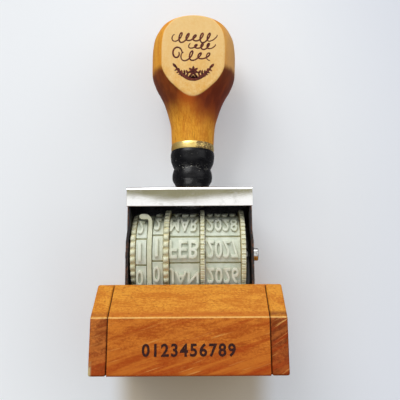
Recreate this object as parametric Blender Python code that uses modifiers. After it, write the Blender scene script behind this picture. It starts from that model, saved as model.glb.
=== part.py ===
"""Wooden planner stamp: a self-standing date stamp with four rubber belts on thumb wheels.

The stamp stands on its rubber die, with z = 0 at the printing face. The front is towards -Y,
the wheels turn on one axle along X, and the turned handle rises along +Z.
Every length is in metres.
"""

import math

import bmesh
import bpy
from mathutils import Matrix

# Clearances and the merge distance of welded outlines
GLUE_GAP = 0.0002
RUN_GAP = 0.0002
BORE_GAP = 0.0003
OVERRUN = 0.001
WELD = 0.000001

# Type belts
AXLE_HEIGHT = 0.0300
BELT_RADIUS = 0.00987
BELT_BACK = 0.0005
BELT_SKIN = 0.0003
PAD_HEIGHT = 0.00045
PAD_GROOVE = 0.0005
TYPE_HEIGHT = 0.0007
PAD_COUNT = 15

# Platen under the belts
PLATEN_FLAT = 0.0047
PLATEN_CORNER = 0.0015
PLATEN_HEIGHT = 0.0048
TENON_DEPTH = 0.003
TENON_HEIGHT = 0.002
TENON_RISE = 0.0014

# Thumb wheels, from left to right
TENS_DISC_PROUD = 0.00038
DISC_PROUD = 0.00158
TENS_DISC_WIDTH = 0.0012
UNITS_DISC_WIDTH = 0.0013
MONTH_DISC_WIDTH = 0.0011
YEAR_DISC_WIDTH = 0.0011
TENS_BELT_WIDTH = 0.00265
UNITS_BELT_WIDTH = 0.00265
MONTH_BELT_WIDTH = 0.0076
YEAR_BELT_WIDTH = 0.0089
TOOTH_DEPTH = 0.0006
TENS_TEETH = 36
COARSE_TEETH = 40
FINE_TEETH = 60
TOOTH_LAND_SHARE = 0.5
TOOTH_FLANK_SHARE = 0.12
BELT_LAG = -0.0012
TENS_LAG = 0.00055
UNITS_LAG = -0.00045

# Separator between the two day belts
SEPARATOR_WIDTH = 0.00115
SEPARATOR_PROUD = 0.001
SEPARATOR_FOOT = 0.0021
HOOK_FRONT = 0.0092
HOOK_DEPTH = 0.0016
HOOK_THICKNESS = 0.0013
HOOK_SHORT = 0.0005
HOOK_CORNER = 0.0005
HOOK_INSET = 0.0001

# Axle
AXLE_RADIUS = 0.0011
AXLE_HEAD_RADIUS = 0.0015
AXLE_HEAD_LENGTH = 0.0019
AXLE_TAIL_RADIUS = 0.00135
AXLE_TAIL_LENGTH = 0.0014
AXLE_EDGE = 0.0003
SPACER_WALL = 0.00055
SPACER_WIDTH = 0.0007

# Chromed frame
PLATE_THICKNESS = 0.0007
WHEEL_OVERHANG = 0.0018
PLATE_BEND = 0.0012
PLATE_TAB = 0.0045
PLATE_STEP = 0.0003
PLATE_STEP_LENGTH = 0.003
PLATE_STEP_RISE = 0.0028
PLATE_FOOT = 0.0007
CAP_THICKNESS = 0.0008
CAP_BEND = 0.0015
CAP_OVERHANG = 0.0002
FRONT_SKIRT = 0.0051
REAR_SKIRT = 0.0088

# Handle fixing
STUD_RADIUS = 0.002
STUD_PROUD = 0.0003
STUD_REACH = 0.014
WHEEL_HEADROOM = 0.0008
NUT_RADIUS = 0.0042
NUT_THICKNESS = 0.0018
WASHER_RADIUS = 0.0046
WASHER_THICKNESS = 0.0006

# Collar, ring and handle
COLLAR_RADIUS = 0.00616
COLLAR_HEIGHT = 0.012
RING_RADIUS = 0.00604
RING_WALL = 0.0008
RING_HEIGHT = 0.0016
HANDLE_RADIUS = 0.01216
HANDLE_HEIGHT = 0.0379
HANDLE_FLAT = 0.0081

# Wooden block
BLOCK_BELOW_AXLE = 0.008
RAIL_THICKNESS = 0.0093
TOP_LAND = 0.0005
SLOPE_HEIGHT = 0.0075
SHOULDER_INSET = 0.0007
SIDE_WALL = 0.0022
CHEEK_THICKNESS = 0.004
WOOD_ROUND = 0.0003

# Frame screws
SCREW_RADIUS = 0.0008
SCREW_HEAD_RADIUS = 0.0014
SCREW_HEAD_HEIGHT = 0.0008
SCREW_GRIP = 0.0016
SCREW_EDGE = 0.0029
SCREW_HEIGHT = 0.008

# Printing die
DIE_RELIEF = 0.0003
DIE_BASE = 0.0004
DIE_CUSHION = 0.0005
DIE_SIDE_INSET = 0.004
DIE_FRONT_INSET = 0.0088
DIE_WINDOW_GAP = 0.0009
DIE_LINE = 0.0011
DIE_LINE_INSET = 0.0006
DIE_CORNER = 0.0015

# Facets of the round pieces
HANDLE_SEGMENTS = 48
TRIM_SEGMENTS = 36
SHAFT_SEGMENTS = 20
SCREW_SEGMENTS = 12
DRUM_SEGMENTS = 36
CORNER_STEPS = 3
CURVE_STEPS = 2
BELT_STEP = math.radians(13)
SHARP_ANGLE = math.radians(32)

# Outline of the handle, from the crown down to the neck, as shares of its radius and height
HANDLE_SHARES = (
    (0, 1), (0.3, 0.99), (0.5, 0.966), (0.666, 0.941), (0.81, 0.908), (0.91, 0.856),
    (0.97, 0.805), (1, 0.72), (1, 0.62), (0.985, 0.525), (0.89, 0.443), (0.79, 0.386),
    (0.687, 0.318), (0.586, 0.222), (0.522, 0.135), (0.495, 0),
)
# Outlines of the collar's two beads, from top to bottom, as shares of its radius and height
UPPER_BEAD_SHARES = (
    (0.975, 1), (1, 0.93), (0.99, 0.84), (0.965, 0.75), (0.905, 0.665), (0.825, 0.58),
)
LOWER_BEAD_SHARES = (
    (0.86, 0.535), (0.893, 0.46), (0.906, 0.375), (0.872, 0.28), (0.755, 0.175), (0.66, 0),
)

# Heights that follow from the sizes above
PAD_OFFSET = BELT_SKIN + PAD_HEIGHT
BELT_FOOT = TYPE_HEIGHT + PAD_OFFSET
PAD_RADIUS = BELT_RADIUS + PAD_OFFSET
TYPE_RADIUS = PAD_RADIUS + TYPE_HEIGHT
TENS_DISC_RADIUS = PAD_RADIUS + TENS_DISC_PROUD
DISC_RADIUS = PAD_RADIUS + DISC_PROUD
DRUM_RADIUS = BELT_RADIUS - BELT_BACK - BORE_GAP
BORE_RADIUS = AXLE_RADIUS + BORE_GAP
BLOCK_FOOT = DIE_RELIEF + DIE_BASE + GLUE_GAP + DIE_CUSHION + GLUE_GAP
BLOCK_TOP = AXLE_HEIGHT - BLOCK_BELOW_AXLE
WHEEL_RADIUS = max(DISC_RADIUS, TENS_DISC_RADIUS, TYPE_RADIUS)
STUD_FOOT = AXLE_HEIGHT + WHEEL_RADIUS + WHEEL_HEADROOM
NUT_FOOT = STUD_FOOT + STUD_PROUD
WASHER_FOOT = NUT_FOOT + NUT_THICKNESS + GLUE_GAP
CAP_UNDER = WASHER_FOOT + WASHER_THICKNESS + GLUE_GAP
CAP_TOP = CAP_UNDER + CAP_THICKNESS
COLLAR_FOOT = CAP_TOP + GLUE_GAP
COLLAR_TOP = COLLAR_FOOT + COLLAR_HEIGHT
RING_FOOT = COLLAR_TOP + GLUE_GAP
HANDLE_FOOT = RING_FOOT + RING_HEIGHT + GLUE_GAP
STUD_BORE = STUD_RADIUS + BORE_GAP

# Widths that follow from the row of wheels and belts
ROW_WIDTH = (
    TENS_DISC_WIDTH + UNITS_DISC_WIDTH + MONTH_DISC_WIDTH + YEAR_DISC_WIDTH
    + TENS_BELT_WIDTH + UNITS_BELT_WIDTH + MONTH_BELT_WIDTH + YEAR_BELT_WIDTH
    + SEPARATOR_WIDTH + RUN_GAP * 8
)
PLATE_INNER = (ROW_WIDTH + SPACER_WIDTH + RUN_GAP * 3) / 2
PLATE_OUTER = PLATE_INNER + PLATE_THICKNESS
CAP_HALF_WIDTH = PLATE_OUTER + CAP_OVERHANG
LOWER_INNER = PLATE_INNER + PLATE_STEP
LOWER_OUTER = LOWER_INNER + PLATE_THICKNESS
WINDOW_HALF_WIDTH = LOWER_OUTER + GLUE_GAP
BODY_HALF_WIDTH = WINDOW_HALF_WIDTH + SIDE_WALL
BLOCK_HALF_WIDTH = BODY_HALF_WIDTH + GLUE_GAP + CHEEK_THICKNESS


def wheel_reach(height):
    """How far the wheels stand forward of the axle, at or below a height."""
    drop = max(AXLE_HEIGHT - height, 0)
    return math.sqrt(max(WHEEL_RADIUS ** 2 - drop ** 2, 0))


PLATE_HALF_DEPTH = WHEEL_RADIUS - WHEEL_OVERHANG
SCREW_SPREAD = PLATE_HALF_DEPTH - SCREW_EDGE
CAP_HALF_DEPTH = PLATE_HALF_DEPTH + BORE_GAP + CAP_THICKNESS
WINDOW_HALF_DEPTH = max(PLATE_HALF_DEPTH + GLUE_GAP, wheel_reach(BLOCK_TOP) + BORE_GAP)
TOP_HALF_DEPTH = WINDOW_HALF_DEPTH + TOP_LAND
BLOCK_HALF_DEPTH = WINDOW_HALF_DEPTH + RAIL_THICKNESS
SHOULDER_HALF_DEPTH = BLOCK_HALF_DEPTH - SHOULDER_INSET
BELT_FOOT_REACH = PLATEN_FLAT / 2 + PLATEN_CORNER + PAD_OFFSET + TYPE_HEIGHT
DIE_WINDOW_HALF_DEPTH = BELT_FOOT_REACH + DIE_WINDOW_GAP

# Planes for flat outlines: side outlines lie in YZ, front outlines in XZ, plan outlines in XY
SIDE_PLANE = Matrix(((0, 0, 1, 0), (1, 0, 0, 0), (0, 1, 0, 0), (0, 0, 0, 1)))
FRONT_PLANE = Matrix(((1, 0, 0, 0), (0, 0, -1, 0), (0, 1, 0, 0), (0, 0, 0, 1)))
PLAN_PLANE = Matrix.Identity(4)


def clear_scene():
    """Remove every object of the starting scene."""
    for item in list(bpy.data.objects):
        bpy.data.objects.remove(item, do_unlink=True)


def new_collection(name):
    """Add a collection to the scene."""
    collection = bpy.data.collections.new(name)
    bpy.context.scene.collection.children.link(collection)
    return collection


clear_scene()
PARTS = new_collection("planner_stamp")
CUTTERS = new_collection("planner_stamp_cutters")


def finish(name, colour, roughness, metallic=0):
    """Principled material of one piece."""
    material = bpy.data.materials.new(name)
    material.use_nodes = True
    shader = material.node_tree.nodes["Principled BSDF"]
    shader.inputs["Base Color"].default_value = (*colour, 1)
    shader.inputs["Roughness"].default_value = roughness
    shader.inputs["Metallic"].default_value = metallic
    material.diffuse_color = (*colour, 1)
    return material


def as_part(item, colour, roughness, metallic=0):
    """Give a piece its material and move it into the model's collection."""
    item.data.materials.clear()
    item.data.materials.append(finish(item.name + "_finish", colour, roughness, metallic))
    for collection in list(item.users_collection):
        collection.objects.unlink(item)
    PARTS.objects.link(item)
    return item


def as_cutter(item):
    """Mark a piece as a helper that shapes others and isn't part of the model."""
    item.hide_render = True
    item.display_type = "WIRE"
    return item


def boolean(item, helper, operation):
    """Cut a helper out of a piece, or join it on."""
    modifier = item.modifiers.new(helper.name, "BOOLEAN")
    modifier.operation = operation
    modifier.solver = "EXACT"
    modifier.object = as_cutter(helper)
    return item


def round_edges(item, width, steps=2):
    """Break the sharp edges of a piece."""
    modifier = item.modifiers.new("Round", "BEVEL")
    modifier.width = width
    modifier.segments = steps
    modifier.limit_method = "ANGLE"
    modifier.angle_limit = SHARP_ANGLE
    return item


def flat_solid(name, loops, low, high, plane):
    """Fill flat closed outlines and thicken them from low to high, square to their plane."""
    curve = bpy.data.curves.new(name, "CURVE")
    curve.dimensions = "2D"
    curve.fill_mode = "BOTH"
    curve.extrude = (high - low) / 2
    for loop in loops:
        spline = curve.splines.new("POLY")
        spline.points.add(len(loop) - 1)
        for point, (across, up) in zip(spline.points, loop):
            point.co = (across, up, 0, 1)
        spline.use_cyclic_u = True
    outline = bpy.data.objects.new(name + "_outline", curve)
    outline.matrix_world = plane @ Matrix.Translation((0, 0, (low + high) / 2))
    CUTTERS.objects.link(outline)
    item = curve_to_mesh(name, outline)
    bpy.data.objects.remove(outline)
    return item


def curve_to_mesh(name, outline):
    """Turn a filled curve into one welded mesh whose faces point out, placed at the origin."""
    bpy.context.view_layer.update()
    evaluated = outline.evaluated_get(bpy.context.evaluated_depsgraph_get())
    mesh = bpy.data.meshes.new_from_object(evaluated)
    mesh.name = name
    mesh.transform(outline.matrix_world)
    shape = bmesh.new()
    shape.from_mesh(mesh)
    bmesh.ops.remove_doubles(shape, verts=shape.verts, dist=WELD)
    bmesh.ops.recalc_face_normals(shape, faces=shape.faces)
    shape.to_mesh(mesh)
    shape.free()
    item = bpy.data.objects.new(name, mesh)
    CUTTERS.objects.link(item)
    return item


def turned(name, profile, segments, plane=PLAN_PLANE, closed=False):
    """Turn a profile of (radius, height) points, given from top to bottom on its outer side."""
    mesh = bpy.data.meshes.new(name)
    edges = [(index, index + 1) for index in range(len(profile) - 1)]
    if closed:
        edges.append((len(profile) - 1, 0))
    mesh.from_pydata([(radius, 0, height) for radius, height in profile], edges, [])
    item = bpy.data.objects.new(name, mesh)
    item.matrix_world = plane
    CUTTERS.objects.link(item)
    modifier = item.modifiers.new("Turn", "SCREW")
    modifier.axis = "Z"
    modifier.steps = segments
    modifier.render_steps = segments
    modifier.use_merge_vertices = True
    modifier.merge_threshold = WELD
    return item


def block(name, low, high):
    """Plain box from its lowest to its highest corner."""
    bpy.ops.mesh.primitive_cube_add(size=1)
    item = bpy.context.active_object
    item.name = name
    centre = [(start + end) / 2 for start, end in zip(low, high)]
    spans = [end - start for start, end in zip(low, high)]
    item.data.transform(Matrix.Translation(centre) @ Matrix.Diagonal((*spans, 1)))
    for collection in list(item.users_collection):
        collection.objects.unlink(item)
    CUTTERS.objects.link(item)
    return item


def arc(across, up, radius, start, end, steps):
    """Points of an arc about a centre, in degrees, with both its ends."""
    points = []
    for index in range(steps + 1):
        angle = math.radians(start + (end - start) * index / steps)
        points.append((across + radius * math.cos(angle), up + radius * math.sin(angle)))
    return points


def circle(across, up, radius, segments):
    """Points of a full circle."""
    return arc(across, up, radius, 0, 360, segments)[:-1]


def round_rectangle(half_width, half_depth, corner):
    """Points of a rectangle about the centre with rounded corners."""
    width = half_width - corner
    depth = half_depth - corner
    return (
        arc(width, depth, corner, 0, 90, CORNER_STEPS)
        + arc(-width, depth, corner, 90, 180, CORNER_STEPS)
        + arc(-width, -depth, corner, 180, 270, CORNER_STEPS)
        + arc(width, -depth, corner, 270, 360, CORNER_STEPS)
    )


def smooth_profile(shares, radius, height, foot):
    """Smooth curve through shares of a radius and a height, as (radius, height) points."""
    points = [(radius * out, foot + height * up) for out, up in shares]
    padded = [points[0], *points, points[-1]]
    smooth = []
    for before, start, end, after in zip(padded, padded[1:], padded[2:], padded[3:]):
        for index in range(CURVE_STEPS):
            t = index / CURVE_STEPS
            smooth.append(tuple(
                b + t * (c - a + t * (2 * a - 5 * b + 4 * c - d + t * (3 * b - a - 3 * c + d))) / 2
                for a, b, c, d in zip(before, start, end, after)
            ))
    smooth.append(points[-1])
    return smooth


class BeltTrack:
    """Neutral line of a type belt: round the wheel, down two slanted runs, round the platen.

    Distances run from the middle of the platen forwards, up the front run, over the wheel and
    down the back. Angles are those of the outward normal, in the YZ plane.
    """

    def __init__(self):
        half_flat = PLATEN_FLAT / 2
        corner_height = BELT_FOOT + PLATEN_CORNER
        rise = AXLE_HEIGHT - corner_height
        span = math.hypot(half_flat, rise)
        self.lean = math.asin((BELT_RADIUS - PLATEN_CORNER) / span) - math.atan2(half_flat, rise)
        run = math.sqrt(span ** 2 - (BELT_RADIUS - PLATEN_CORNER) ** 2)
        front = math.pi + self.lean
        back = -self.lean
        self.pieces = [
            self.line((0, BELT_FOOT), -math.pi / 2, half_flat),
            self.bend((-half_flat, corner_height), PLATEN_CORNER, math.pi * 3 / 2, front),
            self.line(self.spot((-half_flat, corner_height), PLATEN_CORNER, front), front, run),
            self.bend((0, AXLE_HEIGHT), BELT_RADIUS, front, back),
            self.line(self.spot((0, AXLE_HEIGHT), BELT_RADIUS, back), back, run),
            self.bend((half_flat, corner_height), PLATEN_CORNER, back, -math.pi / 2),
            self.line((half_flat, BELT_FOOT), -math.pi / 2, half_flat),
        ]
        self.starts = [0]
        for piece in self.pieces:
            self.starts.append(self.starts[-1] + piece["length"])
        self.length = self.starts[-1]

    @staticmethod
    def spot(centre, radius, angle):
        """Point at an angle about a centre."""
        return (centre[0] + radius * math.cos(angle), centre[1] + radius * math.sin(angle))

    @staticmethod
    def line(start, angle, length):
        """Straight stretch whose outward normal lies at an angle."""
        return {"centre": start, "radius": 0, "start": angle, "end": angle, "length": length}

    @staticmethod
    def bend(centre, radius, start, end):
        """Bend about a centre, turning from one normal to the next."""
        length = radius * (start - end)
        return {"centre": centre, "radius": radius, "start": start, "end": end, "length": length}

    def point(self, distance, offset):
        """Point at a distance along the line, moved out by an offset."""
        distance %= self.length
        index = max(i for i, start in enumerate(self.starts[:-1]) if start <= distance)
        piece = self.pieces[index]
        along = distance - self.starts[index]
        if piece["radius"]:
            angle = piece["start"] - along / piece["radius"]
            return self.spot(piece["centre"], piece["radius"] + offset, angle)
        angle = piece["start"]
        across, up = self.spot(piece["centre"], offset, angle)
        return (across + along * math.sin(angle), up - along * math.cos(angle))

    def stations(self, start, end):
        """Distances from start to end, with every change of stretch and the steps of each bend."""
        found = {start, end}
        turns = (math.floor(start / self.length), math.floor(end / self.length))
        for turn in range(turns[0], turns[1] + 1):
            for index, piece in enumerate(self.pieces):
                low = self.starts[index] + turn * self.length
                angle = piece["start"] - piece["end"]
                steps = max(math.ceil(angle / BELT_STEP), 1)
                found.update(low + piece["length"] * step / steps for step in range(steps + 1))
        inside = sorted(mark for mark in found if start <= mark <= end)
        kept = [inside[0]]
        for mark in inside[1:]:
            if mark - kept[-1] > PAD_GROOVE / 10:
                kept.append(mark)
        kept[-1] = end
        return kept

    def outline(self, offset):
        """Closed outline at a steady offset from the neutral line."""
        return [self.point(mark, offset) for mark in self.stations(0, self.length)[:-1]]

    def type_outline(self, lag):
        """Closed outer outline with one raised pad for each character and a groove after it."""
        pitch = self.length / PAD_COUNT
        points = []
        for index in range(PAD_COUNT):
            start = (index - 0.5) * pitch + PAD_GROOVE / 2 - lag
            end = (index + 0.5) * pitch - PAD_GROOVE / 2 - lag
            points += [self.point(mark, PAD_OFFSET) for mark in self.stations(start, end)]
            points += [self.point(mark, BELT_SKIN) for mark in (end, end + PAD_GROOVE)]
        return points

    def foot_outline(self, offset, top):
        """Closed outline of the narrow lower end, cut off level at a height."""
        front = self.starts[2]
        run = self.pieces[2]["length"]
        low = self.point(front, offset)
        high = self.point(front + run * 0.999, offset)
        cut = (top - low[1]) / (high[1] - low[1])
        corner = (low[0] + (high[0] - low[0]) * cut, top)
        lower = [self.point(mark, offset) for mark in self.stations(self.starts[1], front)]
        half = [*lower, corner]
        return half + [(-across, up) for across, up in reversed(half)]


TRACK = BeltTrack()


def toothed_outline(radius, teeth):
    """Rim of a thumb wheel: flat-topped teeth with sloping flanks, about the axle."""
    points = []
    root = radius - TOOTH_DEPTH
    for tooth in range(teeth):
        corners = (
            (radius, 0),
            (radius, TOOTH_LAND_SHARE),
            (root, TOOTH_LAND_SHARE + TOOTH_FLANK_SHARE),
            (root, 1 - TOOTH_FLANK_SHARE),
        )
        for reach, share in corners:
            angle = math.tau * (tooth + share) / teeth
            points.append((reach * math.cos(angle), reach * math.sin(angle)))
    return points


def place_row():
    """Left and right faces of each disc, belt and the separator, from left to right."""
    order = (
        ("tens_disc", TENS_DISC_WIDTH), ("tens_belt", TENS_BELT_WIDTH),
        ("separator", SEPARATOR_WIDTH),
        ("units_belt", UNITS_BELT_WIDTH), ("units_disc", UNITS_DISC_WIDTH),
        ("month_belt", MONTH_BELT_WIDTH), ("month_disc", MONTH_DISC_WIDTH),
        ("year_belt", YEAR_BELT_WIDTH), ("year_disc", YEAR_DISC_WIDTH),
    )
    places = {}
    left = -PLATE_INNER + RUN_GAP
    for name, width in order:
        places[name] = (left, left + width)
        left += width + RUN_GAP
    places["spacer"] = (left, LOWER_INNER - RUN_GAP)
    return places


ROW = place_row()

WOOD_LIGHT = (0.72, 0.36, 0.1)
WOOD_DARK = (0.5, 0.19, 0.05)
RUBBER_MINT = (0.62, 0.66, 0.55)
PLASTIC_CREAM = (0.75, 0.75, 0.58)
CHROME = (0.8, 0.8, 0.82)
STEEL = (0.45, 0.45, 0.47)


def build_wheel(name, disc, drum, radius, teeth):
    """Thumb wheel: a toothed disc on a drum that carries the belt, bored for the axle."""
    disc_left, disc_right = disc
    item = flat_solid(name, [toothed_outline(radius, teeth)], disc_left, disc_right, SIDE_PLANE)
    middle = (disc_left + disc_right) / 2
    ends = (drum[0], middle) if drum[0] < disc_left else (middle, drum[1])
    barrel = flat_solid(name + "_drum", [circle(0, 0, DRUM_RADIUS, DRUM_SEGMENTS)], *ends, SIDE_PLANE)
    low = min(drum[0], disc_left) - OVERRUN
    high = max(drum[1], disc_right) + OVERRUN
    bore = flat_solid(name + "_bore", [circle(0, 0, BORE_RADIUS, SHAFT_SEGMENTS)], low, high, SIDE_PLANE)
    for piece in (item, barrel, bore):
        piece.location = (0, 0, AXLE_HEIGHT)
    boolean(item, barrel, "UNION")
    boolean(item, bore, "DIFFERENCE")
    return as_part(item, PLASTIC_CREAM, 0.45)


def build_belt(name, faces, lag):
    """Rubber type belt: a loop with raised pads outside and a smooth back."""
    loops = [TRACK.type_outline(lag), TRACK.outline(-BELT_BACK)]
    return as_part(flat_solid(name, loops, *faces, SIDE_PLANE), RUBBER_MINT, 0.6)


def build_wheels_and_belts():
    """The four thumb wheels with their belts."""
    wheels = (
        ("tens", TENS_DISC_RADIUS, TENS_TEETH, TENS_LAG),
        ("units", DISC_RADIUS, COARSE_TEETH, UNITS_LAG),
        ("month", DISC_RADIUS, FINE_TEETH, 0),
        ("year", DISC_RADIUS, FINE_TEETH, 0),
    )
    for name, radius, teeth, lag in wheels:
        belt = ROW[name + "_belt"]
        build_wheel(name + "_wheel", ROW[name + "_disc"], belt, radius, teeth)
        build_belt(name + "_belt", belt, BELT_LAG + lag)


def build_separator():
    """Smooth plate between the day belts, with a hook folded over the tens belt."""
    left, right = ROW["separator"]
    outline = TRACK.outline(SEPARATOR_PROUD)
    hole = circle(0, AXLE_HEIGHT, BORE_RADIUS, SHAFT_SEGMENTS)
    item = flat_solid("belt_separator", [outline, hole], left, right, SIDE_PLANE)
    back = HOOK_FRONT - HOOK_DEPTH
    under = AXLE_HEIGHT + math.sqrt((TYPE_RADIUS + BORE_GAP) ** 2 - back ** 2)
    top = under + HOOK_THICKNESS
    tip = ROW["tens_belt"][0] + HOOK_SHORT
    bend = HOOK_CORNER + HOOK_THICKNESS
    neck_left = left + HOOK_INSET
    neck_right = right - HOOK_INSET
    hook = (
        [(neck_right, AXLE_HEIGHT + BELT_RADIUS / 2)]
        + arc(neck_right - bend, top - bend, bend, 0, 90, CORNER_STEPS)
        + arc(tip + HOOK_THICKNESS / 2, top - HOOK_THICKNESS / 2, HOOK_THICKNESS / 2, 90, 270, CORNER_STEPS)
        + arc(neck_left - HOOK_CORNER, under - HOOK_CORNER, HOOK_CORNER, 90, 0, CORNER_STEPS)
        + [(neck_left, AXLE_HEIGHT + BELT_RADIUS / 2)]
    )
    boolean(item, flat_solid("separator_hook", [hook], back, HOOK_FRONT, FRONT_PLANE), "UNION")
    slot = TRACK.foot_outline(-BELT_BACK, BELT_FOOT + PLATEN_HEIGHT + BORE_GAP * 3)
    boolean(
        item,
        flat_solid("separator_slot", [slot], left - OVERRUN, right + OVERRUN, SIDE_PLANE),
        "DIFFERENCE",
    )
    half_depth = BLOCK_HALF_DEPTH
    foot = block(
        "separator_foot",
        (left - OVERRUN, -half_depth, -OVERRUN),
        (right + OVERRUN, half_depth, SEPARATOR_FOOT),
    )
    boolean(item, foot, "DIFFERENCE")
    return as_part(item, PLASTIC_CREAM, 0.5)


def build_platen():
    """Bar that the belts run under and are pressed by, with a tenon through each side plate."""
    offset = -BELT_BACK - BORE_GAP
    outline = TRACK.foot_outline(offset, BELT_FOOT + PLATEN_HEIGHT)
    half_length = LOWER_INNER - BORE_GAP
    item = flat_solid("platen", [outline], -half_length, half_length, SIDE_PLANE)
    foot = BELT_FOOT + TENON_RISE
    tenon = block(
        "platen_tenon",
        (-LOWER_OUTER, -TENON_DEPTH / 2, foot),
        (LOWER_OUTER, TENON_DEPTH / 2, foot + TENON_HEIGHT),
    )
    boolean(item, tenon, "UNION")
    return as_part(item, STEEL, 0.4, 0.9)


def build_axle():
    """Riveted axle with a turned head outside the right plate, and the spacer beside it."""
    head_foot = LOWER_OUTER + GLUE_GAP
    right = head_foot + AXLE_HEAD_LENGTH
    left = -head_foot - AXLE_TAIL_LENGTH
    profile = [
        (0, right),
        (AXLE_HEAD_RADIUS - AXLE_EDGE, right),
        (AXLE_HEAD_RADIUS, right - AXLE_EDGE),
        (AXLE_HEAD_RADIUS, head_foot),
        (AXLE_RADIUS, head_foot),
        (AXLE_RADIUS, -head_foot),
        (AXLE_TAIL_RADIUS, -head_foot),
        (AXLE_TAIL_RADIUS, left + AXLE_EDGE * 2),
        (AXLE_TAIL_RADIUS - AXLE_EDGE, left + AXLE_EDGE / 2),
        (0, left),
    ]
    along = Matrix.Translation((0, 0, AXLE_HEIGHT)) @ SIDE_PLANE
    as_part(turned("axle", profile, SHAFT_SEGMENTS, along), STEEL, 0.25, 1)
    left, right = ROW["spacer"]
    outer = BORE_RADIUS + SPACER_WALL
    ring = [(outer, right), (outer, left), (BORE_RADIUS, left), (BORE_RADIUS, right)]
    as_part(turned("axle_spacer", ring, SHAFT_SEGMENTS, along, closed=True), STEEL, 0.3, 1)


def build_side_plate(name, side):
    """Sheet side plate: a tab folded in under the cap, a small step, and holes."""
    top = CAP_UNDER - GLUE_GAP
    step_low = AXLE_HEIGHT + PLATE_STEP_RISE
    step_high = step_low + PLATE_STEP_LENGTH
    inner_bend = PLATE_BEND - PLATE_THICKNESS
    foot = BLOCK_FOOT + PLATE_FOOT
    bend_height = top - PLATE_BEND
    bend_across = PLATE_OUTER - PLATE_BEND
    outline = (
        [(PLATE_OUTER - PLATE_TAB, top - PLATE_THICKNESS), (PLATE_OUTER - PLATE_TAB, top)]
        + arc(bend_across, bend_height, PLATE_BEND, 90, 0, CORNER_STEPS)
        + [(PLATE_OUTER, step_high), (LOWER_OUTER, step_low), (LOWER_OUTER, foot)]
        + [(LOWER_INNER, foot), (LOWER_INNER, step_low), (PLATE_INNER, step_high)]
        + arc(bend_across, bend_height, inner_bend, 0, 90, CORNER_STEPS)
    )
    loop = [(side * across, up) for across, up in outline]
    item = flat_solid(name, [loop], -PLATE_HALF_DEPTH, PLATE_HALF_DEPTH, FRONT_PLANE)
    ends = sorted((side * (LOWER_INNER - OVERRUN), side * (LOWER_OUTER + OVERRUN)))
    hole = flat_solid(
        name + "_hole", [circle(0, AXLE_HEIGHT, BORE_RADIUS, SHAFT_SEGMENTS)], *ends, SIDE_PLANE
    )
    boolean(item, hole, "DIFFERENCE")
    rise = BELT_FOOT + TENON_RISE
    reach = TENON_DEPTH / 2 + BORE_GAP
    slot = block(
        name + "_slot",
        (ends[0], -reach, rise - BORE_GAP),
        (ends[1], reach, rise + TENON_HEIGHT + BORE_GAP),
    )
    boolean(item, slot, "DIFFERENCE")
    for place in (-SCREW_SPREAD, SCREW_SPREAD):
        hole = circle(place, SCREW_HEIGHT, SCREW_RADIUS + BORE_GAP, SCREW_SEGMENTS)
        boolean(item, flat_solid(name + "_screw_hole", [hole], *ends, SIDE_PLANE), "DIFFERENCE")
    return as_part(item, CHROME, 0.15, 1)


def build_cap():
    """Chromed cap: a folded channel with a short front skirt and a deeper rear one."""
    outer = CAP_HALF_DEPTH
    inner = CAP_HALF_DEPTH - CAP_THICKNESS
    bend = CAP_HALF_DEPTH - CAP_BEND
    height = CAP_TOP - CAP_BEND
    inside = CAP_BEND - CAP_THICKNESS
    front_foot = CAP_TOP - FRONT_SKIRT
    rear_foot = CAP_TOP - REAR_SKIRT
    outline = (
        [(-inner, front_foot), (-outer, front_foot)]
        + arc(-bend, height, CAP_BEND, 180, 90, CORNER_STEPS)
        + arc(bend, height, CAP_BEND, 90, 0, CORNER_STEPS)
        + [(outer, rear_foot), (inner, rear_foot)]
        + arc(bend, height, inside, 0, 90, CORNER_STEPS)
        + arc(-bend, height, inside, 90, 180, CORNER_STEPS)
    )
    item = flat_solid("frame_cap", [outline], -CAP_HALF_WIDTH, CAP_HALF_WIDTH, SIDE_PLANE)
    hole = [circle(0, 0, STUD_BORE, SHAFT_SEGMENTS)]
    boolean(
        item,
        flat_solid("cap_hole", hole, CAP_UNDER - OVERRUN, CAP_TOP + OVERRUN, PLAN_PLANE),
        "DIFFERENCE",
    )
    return as_part(item, CHROME, 0.08, 1)


def block_outline():
    """Side outline of the wooden block: leaning faces below a shoulder, slopes above it."""
    half = [
        (BLOCK_HALF_DEPTH, BLOCK_FOOT),
        (SHOULDER_HALF_DEPTH, BLOCK_TOP - SLOPE_HEIGHT),
        (TOP_HALF_DEPTH, BLOCK_TOP),
    ]
    return half + [(-across, up) for across, up in reversed(half)]


def build_block():
    """Wooden block: a body with a window for the frame, between two glued end cheeks."""
    body = flat_solid(
        "block_body", [block_outline()], -BODY_HALF_WIDTH, BODY_HALF_WIDTH, SIDE_PLANE
    )
    round_edges(body, WOOD_ROUND)
    window = block(
        "block_window",
        (-WINDOW_HALF_WIDTH, -WINDOW_HALF_DEPTH, BLOCK_FOOT - OVERRUN),
        (WINDOW_HALF_WIDTH, WINDOW_HALF_DEPTH, BLOCK_TOP + OVERRUN),
    )
    boolean(body, window, "DIFFERENCE")
    reach = WINDOW_HALF_WIDTH + SCREW_GRIP + BORE_GAP
    for place in (-SCREW_SPREAD, SCREW_SPREAD):
        hole = [circle(place, SCREW_HEIGHT, SCREW_RADIUS + BORE_GAP, SCREW_SEGMENTS)]
        boolean(body, flat_solid("block_pilot", hole, -reach, reach, SIDE_PLANE), "DIFFERENCE")
    as_part(body, WOOD_LIGHT, 0.5)
    for name, side in (("left_cheek", -1), ("right_cheek", 1)):
        ends = sorted((side * (BODY_HALF_WIDTH + GLUE_GAP), side * BLOCK_HALF_WIDTH))
        cheek = flat_solid(name, [block_outline()], *ends, SIDE_PLANE)
        as_part(round_edges(cheek, WOOD_ROUND), WOOD_DARK, 0.5)


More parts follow.
